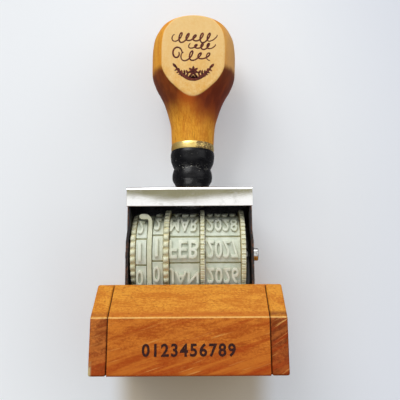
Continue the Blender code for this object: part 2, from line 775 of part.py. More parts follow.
def build_screws():
    """Four round-head screws that hold the side plates to the block."""
    head = LOWER_INNER - GLUE_GAP
    tip = WINDOW_HALF_WIDTH + SCREW_GRIP
    profile = [
        (0, tip),
        (SCREW_RADIUS / 3, tip),
        (SCREW_RADIUS, tip - SCREW_RADIUS),
        (SCREW_RADIUS, head),
        (SCREW_HEAD_RADIUS, head),
        (SCREW_HEAD_RADIUS, head - SCREW_HEAD_HEIGHT / 3),
        (SCREW_HEAD_RADIUS * 0.6, head - SCREW_HEAD_HEIGHT),
        (0, head - SCREW_HEAD_HEIGHT),
    ]
    for side, turn in (("left", math.pi), ("right", 0)):
        for end, place in (("front", -SCREW_SPREAD), ("rear", SCREW_SPREAD)):
            spot = Matrix.Translation((0, place, SCREW_HEIGHT))
            frame = spot @ Matrix.Rotation(turn, 4, "Z") @ SIDE_PLANE
            screw = turned(f"frame_screw_{side}_{end}", profile, SCREW_SEGMENTS, frame)
            as_part(screw, STEEL, 0.35, 1)


def build_die():
    """Rubber die with a raised border on a foam cushion, both with a window for the belts."""
    half_width = BLOCK_HALF_WIDTH - DIE_SIDE_INSET
    half_depth = BLOCK_HALF_DEPTH - DIE_FRONT_INSET
    outline = round_rectangle(half_width, half_depth, DIE_CORNER)
    window_width = PLATE_INNER - RUN_GAP
    window = round_rectangle(window_width, DIE_WINDOW_HALF_DEPTH, DIE_CORNER / 2)
    base_foot = DIE_RELIEF
    base_top = base_foot + DIE_BASE
    item = flat_solid("rubber_die", [outline, window], base_foot, base_top, PLAN_PLANE)
    border_width = half_width - DIE_LINE_INSET
    border_depth = half_depth - DIE_LINE_INSET
    border = [
        round_rectangle(border_width, border_depth, DIE_CORNER),
        round_rectangle(border_width - DIE_LINE, border_depth - DIE_LINE, DIE_CORNER / 2),
    ]
    raised = flat_solid("die_border", border, 0, base_foot + DIE_BASE / 2, PLAN_PLANE)
    boolean(item, raised, "UNION")
    as_part(item, (0.45, 0.2, 0.14), 0.7)
    cushion_foot = base_top + GLUE_GAP
    cushion = flat_solid(
        "die_cushion", [outline, window], cushion_foot, cushion_foot + DIE_CUSHION, PLAN_PLANE
    )
    as_part(cushion, (0.2, 0.2, 0.2), 0.9)


def build_handle_fixing():
    """Stud from under the cap up into the handle, with its nut and washer."""
    top = HANDLE_FOOT + STUD_REACH
    stud = [
        (0, top), (STUD_RADIUS * 0.8, top), (STUD_RADIUS, top - STUD_RADIUS * 0.4),
        (STUD_RADIUS, STUD_FOOT), (0, STUD_FOOT),
    ]
    as_part(turned("handle_stud", stud, SHAFT_SEGMENTS), STEEL, 0.3, 1)
    corner = math.cos(math.pi / 6)
    bore = STUD_BORE / corner
    nut_top = NUT_FOOT + NUT_THICKNESS
    nut = [(NUT_RADIUS, nut_top), (NUT_RADIUS, NUT_FOOT), (bore, NUT_FOOT), (bore, nut_top)]
    as_part(turned("stud_nut", nut, 6, closed=True), STEEL, 0.3, 1)
    washer_top = WASHER_FOOT + WASHER_THICKNESS
    washer = [
        (WASHER_RADIUS, washer_top), (WASHER_RADIUS, WASHER_FOOT),
        (STUD_BORE, WASHER_FOOT), (STUD_BORE, washer_top),
    ]
    as_part(turned("stud_washer", washer, SHAFT_SEGMENTS, closed=True), STEEL, 0.3, 1)


def build_collar():
    """Turned black collar of two beads, bored for the stud."""
    upper = smooth_profile(UPPER_BEAD_SHARES, COLLAR_RADIUS, COLLAR_HEIGHT, COLLAR_FOOT)
    waist = UPPER_BEAD_SHARES[-1]
    lower = smooth_profile((waist, *LOWER_BEAD_SHARES), COLLAR_RADIUS, COLLAR_HEIGHT, COLLAR_FOOT)
    bore = [(STUD_BORE, COLLAR_FOOT), (STUD_BORE, COLLAR_TOP)]
    collar = turned("collar", upper + lower[1:] + bore, TRIM_SEGMENTS, closed=True)
    return as_part(collar, (0.01, 0.01, 0.014), 0.25)


def build_ring():
    """Gold ring at the foot of the handle."""
    inner = RING_RADIUS - RING_WALL
    top = RING_FOOT + RING_HEIGHT
    ring = [(RING_RADIUS, top), (RING_RADIUS, RING_FOOT), (inner, RING_FOOT), (inner, top)]
    return as_part(turned("gold_ring", ring, TRIM_SEGMENTS, closed=True), (0.85, 0.65, 0.2), 0.25, 1)


def build_handle():
    """Pear-shaped turned handle with one flat cut across its front."""
    outside = smooth_profile(HANDLE_SHARES, HANDLE_RADIUS, HANDLE_HEIGHT, HANDLE_FOOT)
    spigot = RING_RADIUS - RING_WALL - GLUE_GAP
    bore_top = HANDLE_FOOT + STUD_REACH + GLUE_GAP
    inside = [
        (spigot, HANDLE_FOOT), (spigot, RING_FOOT),
        (STUD_BORE, RING_FOOT), (STUD_BORE, bore_top), (0, bore_top),
    ]
    item = turned("handle", outside + inside, HANDLE_SEGMENTS)
    reach = HANDLE_RADIUS + OVERRUN
    flat = block(
        "handle_flat",
        (-reach, -reach, HANDLE_FOOT),
        (reach, -HANDLE_FLAT, HANDLE_FOOT + HANDLE_HEIGHT + OVERRUN),
    )
    boolean(item, flat, "DIFFERENCE")
    return as_part(item, WOOD_LIGHT, 0.3)


def smooth_round_pieces():
    """Shade the curved pieces smooth and keep their real corners sharp."""
    for item in PARTS.objects:
        item.data.shade_smooth()
        item.data.set_sharp_from_angle(angle=SHARP_ANGLE)


build_die()
build_block()
build_screws()
build_side_plate("left_side_plate", -1)
build_side_plate("right_side_plate", 1)
build_cap()
build_platen()
build_axle()
build_separator()
build_wheels_and_belts()
build_handle_fixing()
build_collar()
build_ring()
build_handle()
smooth_round_pieces()
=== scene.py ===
"""Looks of a wooden planner stamp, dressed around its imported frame.

The stamp stands on its printing face with the front towards -Y. Each sub-assembly is a class
that builds its meshes and dresses them, and each finish is a small frozen dataclass. Sizes are
in millimetres times MM, and the shader recipes read object coordinates in millimetres.
"""

import logging
import math
from contextlib import contextmanager
from dataclasses import dataclass, field
from enum import Enum
from typing import Any, Iterator, Sequence

import bmesh
import bpy
from mathutils import Matrix, Vector


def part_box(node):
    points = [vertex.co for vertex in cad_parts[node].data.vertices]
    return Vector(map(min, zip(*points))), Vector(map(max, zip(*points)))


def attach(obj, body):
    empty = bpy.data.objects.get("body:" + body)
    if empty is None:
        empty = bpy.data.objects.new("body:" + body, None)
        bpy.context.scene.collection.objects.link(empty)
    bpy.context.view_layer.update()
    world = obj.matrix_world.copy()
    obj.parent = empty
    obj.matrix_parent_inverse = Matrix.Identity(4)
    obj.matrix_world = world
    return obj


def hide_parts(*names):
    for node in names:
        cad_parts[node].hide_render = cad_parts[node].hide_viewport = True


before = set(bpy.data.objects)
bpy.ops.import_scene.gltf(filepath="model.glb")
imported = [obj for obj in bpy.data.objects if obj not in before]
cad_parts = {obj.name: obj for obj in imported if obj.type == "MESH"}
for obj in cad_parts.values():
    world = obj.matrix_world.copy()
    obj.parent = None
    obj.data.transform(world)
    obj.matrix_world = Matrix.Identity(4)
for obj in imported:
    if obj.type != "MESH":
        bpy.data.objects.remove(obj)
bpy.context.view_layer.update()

LOG = logging.getLogger("planner_stamp")
MM = 0.001
WELD = 0.001 * MM
SHARP = math.radians(38)
NECK_SHIFT = 0.35 * MM
NECK_LEAN = 0.9
NECK_DROP = 0.4 * MM

Colour = tuple[float, float, float]
Point = tuple[float, float]


def tone(red: int, green: int, blue: int) -> Colour:
    """Linear colour of a screen colour given from 0 to 255."""
    shares = (red / 255, green / 255, blue / 255)
    return tuple(c / 12.92 if c <= 0.04045 else ((c + 0.055) / 1.055) ** 2.4 for c in shares)


class Body(Enum):
    """Bodies of the frame that a piece may ride on."""

    ROOT = "root"
    TENS = "tens_wheel"
    UNITS = "units_wheel"
    MONTH = "month_wheel"
    YEAR = "year_wheel"


class Plane(Enum):
    """Planes that a flat outline can be drawn in."""

    SIDE = Matrix(((0, 0, 1, 0), (1, 0, 0, 0), (0, 1, 0, 0), (0, 0, 0, 1)))
    FRONT = Matrix(((1, 0, 0, 0), (0, 0, -1, 0), (0, 1, 0, 0), (0, 0, 0, 1)))
    PLAN = Matrix.Identity(4)


class Wire:
    """Output socket of a shader node, with arithmetic that adds Math nodes."""

    def __init__(self, recipe: "Recipe", socket: bpy.types.NodeSocket) -> None:
        """Keep the socket and the recipe that it belongs to."""
        self.recipe = recipe
        self.socket = socket

    def calc(self, operation: str, *others: "Wire | float", swap: bool = False) -> "Wire":
        """Add a Math node.

        Args:
            operation: The Math node's operation.
            others: The other terms.
            swap: Put this wire last instead of first.

        Returns:
            The result's wire.
        """
        terms = [*others, self] if swap else [self, *others]
        return self.recipe.node("ShaderNodeMath", {"operation": operation}, dict(enumerate(terms)))

    def __add__(self, other: "Wire | float") -> "Wire":
        """Sum."""
        return self.calc("ADD", other)

    def __radd__(self, other: float) -> "Wire":
        """Sum, with the number first."""
        return self.calc("ADD", other)

    def __sub__(self, other: "Wire | float") -> "Wire":
        """Difference."""
        return self.calc("SUBTRACT", other)

    def __rsub__(self, other: float) -> "Wire":
        """Difference, with the number first."""
        return self.calc("SUBTRACT", other, swap=True)

    def __mul__(self, other: "Wire | float") -> "Wire":
        """Product."""
        return self.calc("MULTIPLY", other)

    def __rmul__(self, other: float) -> "Wire":
        """Product, with the number first."""
        return self.calc("MULTIPLY", other)

    def __pow__(self, other: "Wire | float") -> "Wire":
        """Power."""
        return self.calc("POWER", other)

    def __abs__(self) -> "Wire":
        """Size without its sign."""
        return self.calc("ABSOLUTE")

    def at_least(self, other: "Wire | float") -> "Wire":
        """The larger of the two."""
        return self.calc("MAXIMUM", other)

    def ramp(self, low: float, high: float) -> "Wire":
        """Smooth step from 0 at low to 1 at high; low may be the larger one.

        Args:
            low: Where it is 0.
            high: Where it is 1.

        Returns:
            The step's wire.
        """
        start, end, first, last = (low, high, 0.0, 1.0) if low < high else (high, low, 1.0, 0.0)
        return self.recipe.node(
            "ShaderNodeMapRange",
            {"interpolation_type": "SMOOTHSTEP"},
            {"Value": self, "From Min": start, "From Max": end, "To Min": first, "To Max": last},
        )

    def near(self, place: float, reach: float) -> "Wire":
        """1 at a place, falling smoothly to 0 at a reach to either side."""
        return abs(self - place).ramp(reach, 0.0)


class NodeTree:
    """Node tree that nodes are added to with their properties and inputs."""

    tree: bpy.types.NodeTree

    def add(
        self, kind: str, settings: dict[str, Any] | None, values: dict[int | str, Any] | None
    ) -> bpy.types.Node:
        """Add a node.

        Args:
            kind: Type of the node.
            settings: Its properties.
            values: Numbers, colours, vectors, wires or sockets for its inputs.

        Returns:
            The node.
        """
        made = self.tree.nodes.new(kind)
        for key, value in (settings or {}).items():
            setattr(made, key, value)
        for key, value in (values or {}).items():
            self.feed(made.inputs[key], value)
        return made

    def feed(self, socket: bpy.types.NodeSocket, value: Any) -> None:
        """Link a wire or a socket to a socket, or set the socket's own value.

        Args:
            socket: The input.
            value: What it gets.
        """
        if isinstance(value, Wire):
            value = value.socket
        if isinstance(value, bpy.types.NodeSocket):
            self.tree.links.new(value, socket)
        elif isinstance(value, tuple) and len(value) == 3 and socket.type == "RGBA":
            socket.default_value = (*value, 1)
        else:
            socket.default_value = value


class Recipe(NodeTree):
    """Node tree of one material."""

    def __init__(self, name: str) -> None:
        """Start a material with its Principled shader.

        Args:
            name: Name of the material.
        """
        self.material = bpy.data.materials.new(name)
        self.material.use_nodes = True
        self.tree = self.material.node_tree
        self.shader = self.tree.nodes["Principled BSDF"]
        self._place: Wire | None = None

    def node(
        self,
        kind: str,
        settings: dict[str, Any] | None = None,
        values: dict[int | str, Any] | None = None,
        output: int | str = 0,
    ) -> Wire:
        """Add a node as in add, and return the wire of one output."""
        return Wire(self, self.add(kind, settings, values).outputs[output])

    def finish(self, **values: Any) -> bpy.types.Material:
        """Feed the shader; an underscore in a name stands for a space.

        Args:
            values: Numbers, colours or wires for its inputs, by name.

        Returns:
            The material.
        """
        for key, value in values.items():
            self.feed(self.shader.inputs[key.replace("_", " ")], value)
        return self.material

    @property
    def place(self) -> Wire:
        """Object coordinates in millimetres.

        Returns:
            The wire of the coordinates.
        """
        if self._place is None:
            spot = self.node("ShaderNodeTexCoord", output="Object")
            self._place = self.vector("SCALE", spot, {"Scale": 1 / MM})
        return self._place

    def vector(self, operation: str, first: Any, rest: dict[int | str, Any]) -> Wire:
        """Vector Math node on a vector."""
        return self.node("ShaderNodeVectorMath", {"operation": operation}, {0: first, **rest})

    def axis(self, name: str) -> Wire:
        """One of the coordinates X, Y or Z in millimetres."""
        return self.node("ShaderNodeSeparateXYZ", values={0: self.place}, output=name)

    def radius(self, height: float) -> Wire:
        """Distance in millimetres from a line along X at a height."""
        return ((self.axis("Y") ** 2) + ((self.axis("Z") - height) ** 2)) ** 0.5

    def grain(
        self,
        size: tuple[float, float, float],
        detail: float = 3.0,
        rough: float = 0.55,
        turn: tuple[float, float, float] = (0.0, 0.0, 0.0),
        shift: float = 0.0,
    ) -> Wire:
        """Noise whose features have a size in millimetres along each axis.

        Args:
            size: Feature size along X, Y and Z.
            detail: Octaves of the noise.
            rough: Weight of the finer octaves.
            turn: Angles in degrees that turn the pattern first.
            shift: Offset that gives another part of the noise.

        Returns:
            The noise, about 0.5 on average.
        """
        spot = self.place
        if any(turn):
            angles = tuple(math.radians(angle) for angle in turn)
            spot = self.node("ShaderNodeMapping", values={"Vector": spot, "Rotation": angles})
        spot = self.vector("DIVIDE", spot, {1: size})
        if shift:
            spot = self.vector("ADD", spot, {1: (shift, shift / 2, shift / 3)})
        return self.node(
            "ShaderNodeTexNoise", None,
            {"Vector": spot, "Scale": 1.0, "Detail": detail, "Roughness": rough},
        )

    def mix(self, share: Wire | float, first: Any, second: Any, blend: str = "MIX") -> Wire:
        """Colour from the first to the second by a share."""
        settings = {"data_type": "RGBA", "blend_type": blend}
        return self.node("ShaderNodeMix", settings, {0: share, 6: first, 7: second}, output=2)

    def bump(self, height: Wire, depth: float, strength: float = 1.0) -> Wire:
        """Bump normal from a height of 0 to 1 that stands for a depth in millimetres."""
        values = {"Height": height, "Distance": depth * MM, "Strength": strength}
        return self.node("ShaderNodeBump", None, values, output="Normal")


class SkyRecipe(Recipe):
    """Node tree of the world."""

    def __init__(self, name: str) -> None:
        """Start a world with its Background shader and make it the scene's.

        Args:
            name: Name of the world.
        """
        self.world = bpy.data.worlds.new(name)
        self.world.use_nodes = True
        self.tree = self.world.node_tree
        self.shader = self.tree.nodes["Background"]
        bpy.context.scene.world = self.world


@dataclass(frozen=True)
class BlockWood:
    """Stained and oiled hardwood of the block, with pores, fibres and saw marks.

    The slopes are painted lighter than the faces under them, as painted light from above, and the faces
    redden towards the foot.
    """

    name: str
    slope_light: Colour = tone(216, 148, 50)
    slope_dark: Colour = tone(188, 108, 28)
    face_light: Colour = tone(216, 128, 44)
    face_dark: Colour = tone(176, 84, 22)
    foot: Colour = tone(168, 60, 12)
    pore: Colour = tone(128, 56, 14)
    scratch: Colour = tone(234, 176, 96)
    arris: Colour = tone(240, 196, 118)
    bare: Colour = tone(206, 186, 134)
    fibre: tuple[float, float, float] = (2.6, 0.4, 0.3)
    figure: tuple[float, float, float] = (9.0, 3.6, 2.6)
    saw_turn: float = 17.0
    saw_share: float = 0.5
    shoulder: float = 14.5
    foot_height: float = 1.6
    chipped: bool = False
    blotch: float = 0.0
    shift: float = 0.0

    def material(self) -> bpy.types.Material:
        """Build the material.

        Returns:
            The material.
        """
        mix = Recipe(self.name)
        height = mix.axis("Z")
        figure = mix.grain(self.figure, 3.0, 0.6, shift=self.shift)
        fibre = mix.grain(self.fibre, 4.0, 0.65, shift=self.shift)
        fleck = mix.grain((0.62, 0.5, 0.42), 3.0, 0.7, shift=self.shift)
        share = (figure * 0.36 + fibre * 0.26 + fleck * 0.38).ramp(0.41, 0.6)
        # painted light: the slope colours are a lighter, lit copy of the face colours, standing for light
        # from above
        slope = mix.mix(share, self.slope_dark, self.slope_light)
        rim = height.near(self.shoulder + 0.75, 0.9) * figure.ramp(0.34, 0.56)
        slope = mix.mix(rim * 0.75, slope, self.face_dark)
        face = mix.mix(share, self.face_dark, self.face_light)
        low = height.ramp(9.5, self.foot_height) * (0.3 + 0.75 * figure)
        face = mix.mix(low, face, self.foot)
        below = height.ramp(self.shoulder + 0.12, self.shoulder - 0.12)
        colour = mix.mix(below, slope, face)
        if self.blotch:
            stain = mix.grain((3.5, 3.0, 2.2), 4.0, 0.65, shift=self.shift + 4.0).ramp(0.46, 0.64)
            colour = mix.mix(stain * below * self.blotch, colour, self.pore)
        pores = mix.grain((0.9, 0.3, 0.3), 2.0, 0.6, shift=self.shift + 1.0)
        colour = mix.mix(pores.ramp(0.58, 0.72) * (0.6 - 0.2 * below), colour, self.pore)
        turn = (0.0, self.saw_turn, 0.0)
        bands = mix.grain((17.0, 9.0, 1.5), 3.0, 0.55, turn, self.shift + 3.0)
        saw = mix.grain((11.0, 6.0, 0.5), 3.0, 0.6, turn, self.shift + 2.0)
        colour = mix.mix(bands.ramp(0.52, 0.68) * below * 0.6, colour, self.foot)
        colour = mix.mix(bands.ramp(0.5, 0.36) * below * 0.55, colour, self.face_light)
        colour = mix.mix(saw.ramp(0.6, 0.74) * below * self.saw_share, colour, self.scratch)
        # painted highlight along the arris between slope and face, mixed with some wear
        edge = height.near(self.shoulder, 0.26) * (0.2 + 1.2 * fleck)
        colour = mix.mix(edge, colour, self.arris)
        # painted shade: a dark line along the block's lower edge, in the pore colour
        colour = mix.mix(height.ramp(self.foot_height + 0.7, self.foot_height) * 0.8, colour, self.pore)
        if self.chipped:
            colour = mix.mix(self._chip(mix), colour, self.bare)
        rough = 0.5 + 0.2 * fleck - 0.1 * figure
        depth = fibre * 0.5 + pores.ramp(0.72, 0.6) * 0.5 + saw * 0.4 * below
        return mix.finish(
            Base_Color=colour, Roughness=rough, Normal=mix.bump(depth, 0.05, 0.5),
            Coat_Weight=0.02, Coat_Roughness=0.35, Specular_IOR_Level=0.1,
        )

    def _chip(self, mix: Recipe) -> Wire:
        """Bare wood where the lower outer corner is knocked off.

        Args:
            mix: The material's recipe.

        Returns:
            The wire of its mask.
        """
        ragged = mix.grain((0.8, 0.8, 1.2), 3.0, 0.6)
        corner = mix.axis("X").ramp(-21.9, -22.6) * mix.axis("Y").ramp(-18.4, -19.3)
        return corner * (mix.axis("Z") + ragged * 4.0).ramp(7.0, 5.0)


@dataclass(frozen=True)
class HandleWood:
    """Varnished wood of the handle: pale on the flat, dark where the pear narrows as painted shade over a
    darker stain, with a painted sheen on the right limb and painted shade on the right of the neck.
    """

    name: str = "handle_wood"
    flat: Colour = tone(240, 203, 138)
    flat_deep: Colour = tone(230, 172, 80)
    flank: Colour = tone(238, 170, 52)
    flank_deep: Colour = tone(214, 136, 36)
    limb: Colour = tone(226, 184, 128)
    # painted shade over a darker stain, for the band where the pear narrows and faces down
    burnt: Colour = tone(100, 30, 12)
    burnt_edge: Colour = tone(124, 44, 14)
    ember: Colour = tone(186, 82, 16)
    neck: Colour = tone(240, 174, 56)
    neck_deep: Colour = tone(208, 126, 28)
    neck_red: Colour = tone(182, 84, 18)
    streak: Colour = tone(140, 66, 16)
    flat_place: float = 8.25
    dark_low: float = 69.0
    dark_high: float = 81.6

    def material(self) -> bpy.types.Material:
        """Build the material.

        Returns:
            The material.
        """
        mix = Recipe(self.name)
        height = mix.axis("Z")
        side = mix.axis("X")
        fibre = mix.grain((0.5, 0.5, 4.0), 4.0, 0.6)
        figure = mix.grain((2.6, 2.6, 8.0), 3.0, 0.55)
        cloud = mix.grain((3.4, 3.4, 3.4), 3.0, 0.6)
        fleck = mix.grain((0.42, 0.42, 0.7), 2.0, 0.6)
        share = (fibre * 0.34 + figure * 0.4 + fleck * 0.26).ramp(0.36, 0.64)
        upper = mix.mix(share, self.flank_deep, self.flank)
        # painted sheen: the right limb of the pear is painted paler
        upper = mix.mix(side.ramp(7.5, 11.5) * 0.5, upper, self.limb)
        lower = mix.mix(share, self.neck_deep, self.neck)
        # painted shade: the right side of the neck is painted redder and darker
        red = (side + cloud * 3.0).ramp(0.5, 5.0) * height.ramp(63.0, 70.0)
        lower = mix.mix(red * 0.85, lower, self.neck_red)
        colour = mix.mix(height.ramp(74.0, 82.0), lower, upper)
        # painted shade over a darker stain: the band where the pear narrows is painted dark brown, less so
        # in its middle
        wander = height + cloud * 2.4 - 1.2
        lean = wander + side * 0.12
        dark = lean.ramp(self.dark_low - 3.5, self.dark_low + 4.0) * wander.ramp(
            self.dark_high + 0.9, self.dark_high - 1.6
        )
        burnt = mix.mix(figure.ramp(0.42, 0.62), self.burnt, self.burnt_edge)
        middle = abs(side + 0.6).ramp(4.0, 0.5) * height.ramp(77.0, 73.0)
        burnt = mix.mix(middle * 0.8, burnt, self.ember)
        colour = mix.mix(dark * 0.92, colour, burnt)
        lines = mix.grain((0.3, 0.3, 2.6), 2.0, 0.5, shift=3.0).ramp(0.6, 0.74)
        colour = mix.mix(lines * height.ramp(74.0, 66.0) * 0.5, colour, self.streak)
        cut = (0.0 - mix.axis("Y")).ramp(self.flat_place - 0.22, self.flat_place - 0.05)
        wave = mix.grain((2.2, 2.2, 6.5), 3.0, 0.6, shift=5.0)
        dust = mix.grain((0.5, 0.5, 0.6), 3.0, 0.65, shift=6.0)
        warm = (wave * 0.4 + dust * 0.6).ramp(0.3, 0.7) * (0.35 + 0.65 * height.ramp(90.0, 74.0))
        pale = mix.mix(warm, self.flat, self.flat_deep)
        colour = mix.mix(cut, colour, pale)
        rough = 0.42 + 0.12 * fleck + 0.1 * cut
        depth = fibre * 0.6 + fleck * 0.4
        return mix.finish(
            Base_Color=colour, Roughness=rough, Normal=mix.bump(depth, 0.03, 0.45),
            Coat_Weight=0.04, Coat_Roughness=0.25, Specular_IOR_Level=0.14,
        )


@dataclass(frozen=True)
class BlackLacquer:
    """Thick glossy lacquer of the collar, with turning marks, dust, and painted glints on the front of the
    waist.
    """

    name: str = "collar_lacquer"
    black: Colour = tone(7, 7, 11)
    worn: Colour = tone(22, 22, 25)
    dust: Colour = tone(150, 148, 138)

    def material(self) -> bpy.types.Material:
        """Build the material.

        Returns:
            The material.
        """
        mix = Recipe(self.name)
        marks = mix.grain((6.0, 6.0, 0.22), 3.0, 0.6)
        cloud = mix.grain((1.3, 1.3, 0.8), 3.0, 0.6)
        specks = mix.grain((0.7, 0.7, 0.3), 3.0, 0.6, shift=2.0)
        colour = mix.mix(cloud.ramp(0.5, 0.74), self.black, self.worn)
        # painted glints: pale specks on the front of the waist stand for highlights, mixed with the random
        # dust specks
        waist_glints = mix.axis("Z").near(53.6, 1.5) * mix.axis("Y").ramp(-1.0, -4.0)
        colour = mix.mix((specks + waist_glints * 0.1).ramp(0.66, 0.76) * 0.8, colour, self.dust)
        rough = 0.16 + 0.2 * cloud
        return mix.finish(
            Base_Color=colour, Roughness=rough, Normal=mix.bump(marks * 0.5 + cloud * 0.5, 0.09, 0.6),
            Specular_IOR_Level=0.22,
        )


@dataclass(frozen=True)
class GoldPaint:
    """Gold leaf of the ring, rubbed off in places down to the dark wood, with its left end painted deeper
    as painted shade and its right front browner, partly wear and partly painted shade.
    """

    name: str = "ring_gold"
    gold: Colour = tone(244, 218, 136)
    deep: Colour = tone(206, 154, 52)
    under: Colour = tone(92, 62, 26)

    def material(self) -> bpy.types.Material:
        """Build the material.

        Returns:
            The material.
        """
        mix = Recipe(self.name)
        cloud = mix.grain((1.6, 1.6, 0.5), 3.0, 0.6)
        rub = mix.grain((0.6, 0.6, 0.4), 3.0, 0.65)
        across = mix.axis("X")
        # painted shade: the left end of the ring is painted in the deeper gold
        bright = (cloud.ramp(0.3, 0.6) * 0.4 + 0.6) * across.ramp(-5.6, -2.5)
        colour = mix.mix(bright, self.deep, self.gold)
        # the right front is rubbed more, partly wear and partly painted shade
        side = across.ramp(1.2, 2.4) * mix.axis("Y").ramp(-1.0, -2.5)
        worn = (rub + side * 0.22).ramp(0.6, 0.72)
        colour = mix.mix(worn * 0.85, colour, self.under)
        return mix.finish(
            Base_Color=colour, Metallic=0.7 - 0.6 * worn, Roughness=0.3 + 0.25 * worn,
            Normal=mix.bump(rub, 0.04, 0.5),
        )


@dataclass(frozen=True)
class Chrome:
    """Bright plated sheet with a faint grain, fine scratches, raw rusty cut edges and painted shade on its
    inner faces.
    """

    name: str
    plate: Colour = (0.84, 0.84, 0.83)
    dull: Colour = (0.58, 0.57, 0.54)
    rust: Colour = tone(104, 62, 36)
    dark_rust: Colour = tone(30, 22, 20)
    inside: Colour = tone(26, 25, 30)
    edge_place: float = 0.0
    inner_depth: float = 0.0
    inner_width: float = 0.0
    grain_depth: float = 0.006
    wave_depth: float = 0.03
    rough: float = 0.07

    def material(self) -> bpy.types.Material:
        """Build the material.

        Returns:
            The material.
        """
        mix = Recipe(self.name)
        grit = mix.grain((0.16, 0.16, 0.16), 2.0, 0.6)
        wave = mix.grain((7.0, 7.0, 4.0), 1.0, 0.4)
        cloud = mix.grain((2.5, 2.5, 2.5), 3.0, 0.6)
        scratch = mix.grain((4.0, 4.0, 0.1), 2.0, 0.5, (8.0, 20.0, 12.0)).ramp(0.62, 0.72)
        colour = mix.mix(cloud.ramp(0.5, 0.8) * 0.35, self.plate, self.dull)
        rough = self.rough + 0.06 * cloud.ramp(0.45, 0.8) + 0.1 * scratch
        metal = 1.0
        if self.edge_place:
            edge = abs(mix.axis("Y")).ramp(self.edge_place - 0.16, self.edge_place - 0.05)
            patch = mix.grain((0.7, 0.7, 1.4), 3.0, 0.65).ramp(0.48, 0.62)
            raw = mix.mix(patch, self.dark_rust, self.rust)
            colour = mix.mix(edge, colour, raw)
            rough = rough + edge * 0.4
            metal = 1.0 - edge * 0.75
        # painted shade: the inner faces, inside the cap or facing the wheels, are painted near black in the
        # inside colour
        if self.inner_depth:
            inner = abs(mix.axis("Y")).ramp(self.inner_depth + 0.06, self.inner_depth + 0.02)
            inner = inner * mix.axis("Z").ramp(46.3, 46.15)
        else:
            inner = abs(mix.axis("X")).ramp(self.inner_width + 0.1, self.inner_width + 0.04)
        colour = mix.mix(inner * 0.94, colour, self.inside)
        rough = rough + inner * 0.2
        relief = grit * (self.grain_depth / self.wave_depth) + wave
        return mix.finish(
            Base_Color=colour, Metallic=metal, Roughness=rough,
            Normal=mix.bump(relief, self.wave_depth, 1.0),
        )


@dataclass(frozen=True)
class Steel:
    """Bare turned or stamped steel of the axle, screws, nut and platen."""

    name: str
    bright: Colour = (0.62, 0.62, 0.62)
    dull: Colour = (0.34, 0.33, 0.31)
    rough: float = 0.22

    def material(self) -> bpy.types.Material:
        """Build the material.

        Returns:
            The material.
        """
        mix = Recipe(self.name)
        cloud = mix.grain((0.9, 0.9, 0.9), 3.0, 0.6)
        lines = mix.grain((0.12, 1.6, 1.6), 2.0, 0.5)
        colour = mix.mix(cloud.ramp(0.4, 0.7), self.bright, self.dull)
        rough = self.rough + 0.25 * cloud.ramp(0.4, 0.7)
        return mix.finish(
            Base_Color=colour, Metallic=1.0, Roughness=rough, Normal=mix.bump(lines, 0.02, 0.5)
        )


@dataclass(frozen=True)
class TypeRubber:
    """Pale green rubber of the belts; the lift attribute is 0 in the grooves and 1 on top, and the rubber
    darkens low down as dirt and painted shade.
    """

    name: str
    top: Colour = tone(224, 230, 214)
    top_deep: Colour = tone(208, 216, 198)
    root: Colour = tone(168, 160, 112)
    root_share: float = 0.8
    root_low: float = 0.0
    root_high: float = 0.7

    def material(self) -> bpy.types.Material:
        """Build the material.

        Returns:
            The material.
        """
        mix = Recipe(self.name)
        cloud = mix.grain((1.8, 1.8, 1.8), 3.0, 0.6)
        skin = mix.grain((0.14, 0.14, 0.14), 2.0, 0.6)
        lift = mix.node("ShaderNodeAttribute", {"attribute_name": "lift"}, output="Fac")
        colour = mix.mix(cloud.ramp(0.35, 0.7), self.top, self.top_deep)
        # dirt and painted shade darken the grooves and the foot of the type
        dirt_and_shade = lift.ramp(self.root_high, self.root_low) * (0.55 + 0.8 * cloud) * self.root_share
        colour = mix.mix(dirt_and_shade, colour, self.root)
        return mix.finish(
            Base_Color=colour, Roughness=0.5 + 0.15 * cloud, Normal=mix.bump(skin, 0.02, 0.5),
            Specular_IOR_Level=0.35,
        )


@dataclass(frozen=True)
class WheelPlastic:
    """Cream plastic of the thumb wheels and the separator, darker low between the teeth as soil and painted
    shade.
    """

    name: str
    cream: Colour = tone(232, 232, 204)
    shade: Colour = tone(214, 214, 178)
    soil: Colour = tone(222, 206, 154)
    axle_height: float = 30.0
    soil_radius: float = 0.0

    def material(self) -> bpy.types.Material:
        """Build the material.

        Returns:
            The material.
        """
        mix = Recipe(self.name)
        cloud = mix.grain((2.2, 2.2, 2.2), 3.0, 0.6)
        skin = mix.grain((0.2, 0.2, 0.2), 2.0, 0.6)
        colour = mix.mix(cloud.ramp(0.35, 0.7), self.cream, self.shade)
        # soil and painted shade low between the teeth
        if self.soil_radius:
            low = mix.radius(self.axle_height).ramp(self.soil_radius, self.soil_radius - 0.4)
            colour = mix.mix(low * (0.6 + 0.6 * cloud), colour, self.soil)
        return mix.finish(
            Base_Color=colour, Roughness=0.42 + 0.15 * cloud, Normal=mix.bump(skin, 0.015, 0.4),
            Specular_IOR_Level=0.4,
        )


@dataclass(frozen=True)
class SoftSheet:
    """Printing rubber or foam: matt, pitted and a little stained with ink."""

    name: str
    base: Colour
    stain: Colour
    pit: float = 0.3
    depth: float = 0.05

    def material(self) -> bpy.types.Material:
        """Build the material.

        Returns:
            The material.
        """
        mix = Recipe(self.name)
        cloud = mix.grain((3.0, 3.0, 3.0), 3.0, 0.6)
        pits = mix.grain((self.pit, self.pit, self.pit), 3.0, 0.65)
        colour = mix.mix(cloud.ramp(0.4, 0.7) * 0.8, self.base, self.stain)
        colour = mix.mix(pits.ramp(0.55, 0.75) * 0.5, colour, self.stain)
        return mix.finish(
            Base_Color=colour, Roughness=0.7 + 0.2 * pits, Normal=mix.bump(pits, self.depth, 0.6)
        )


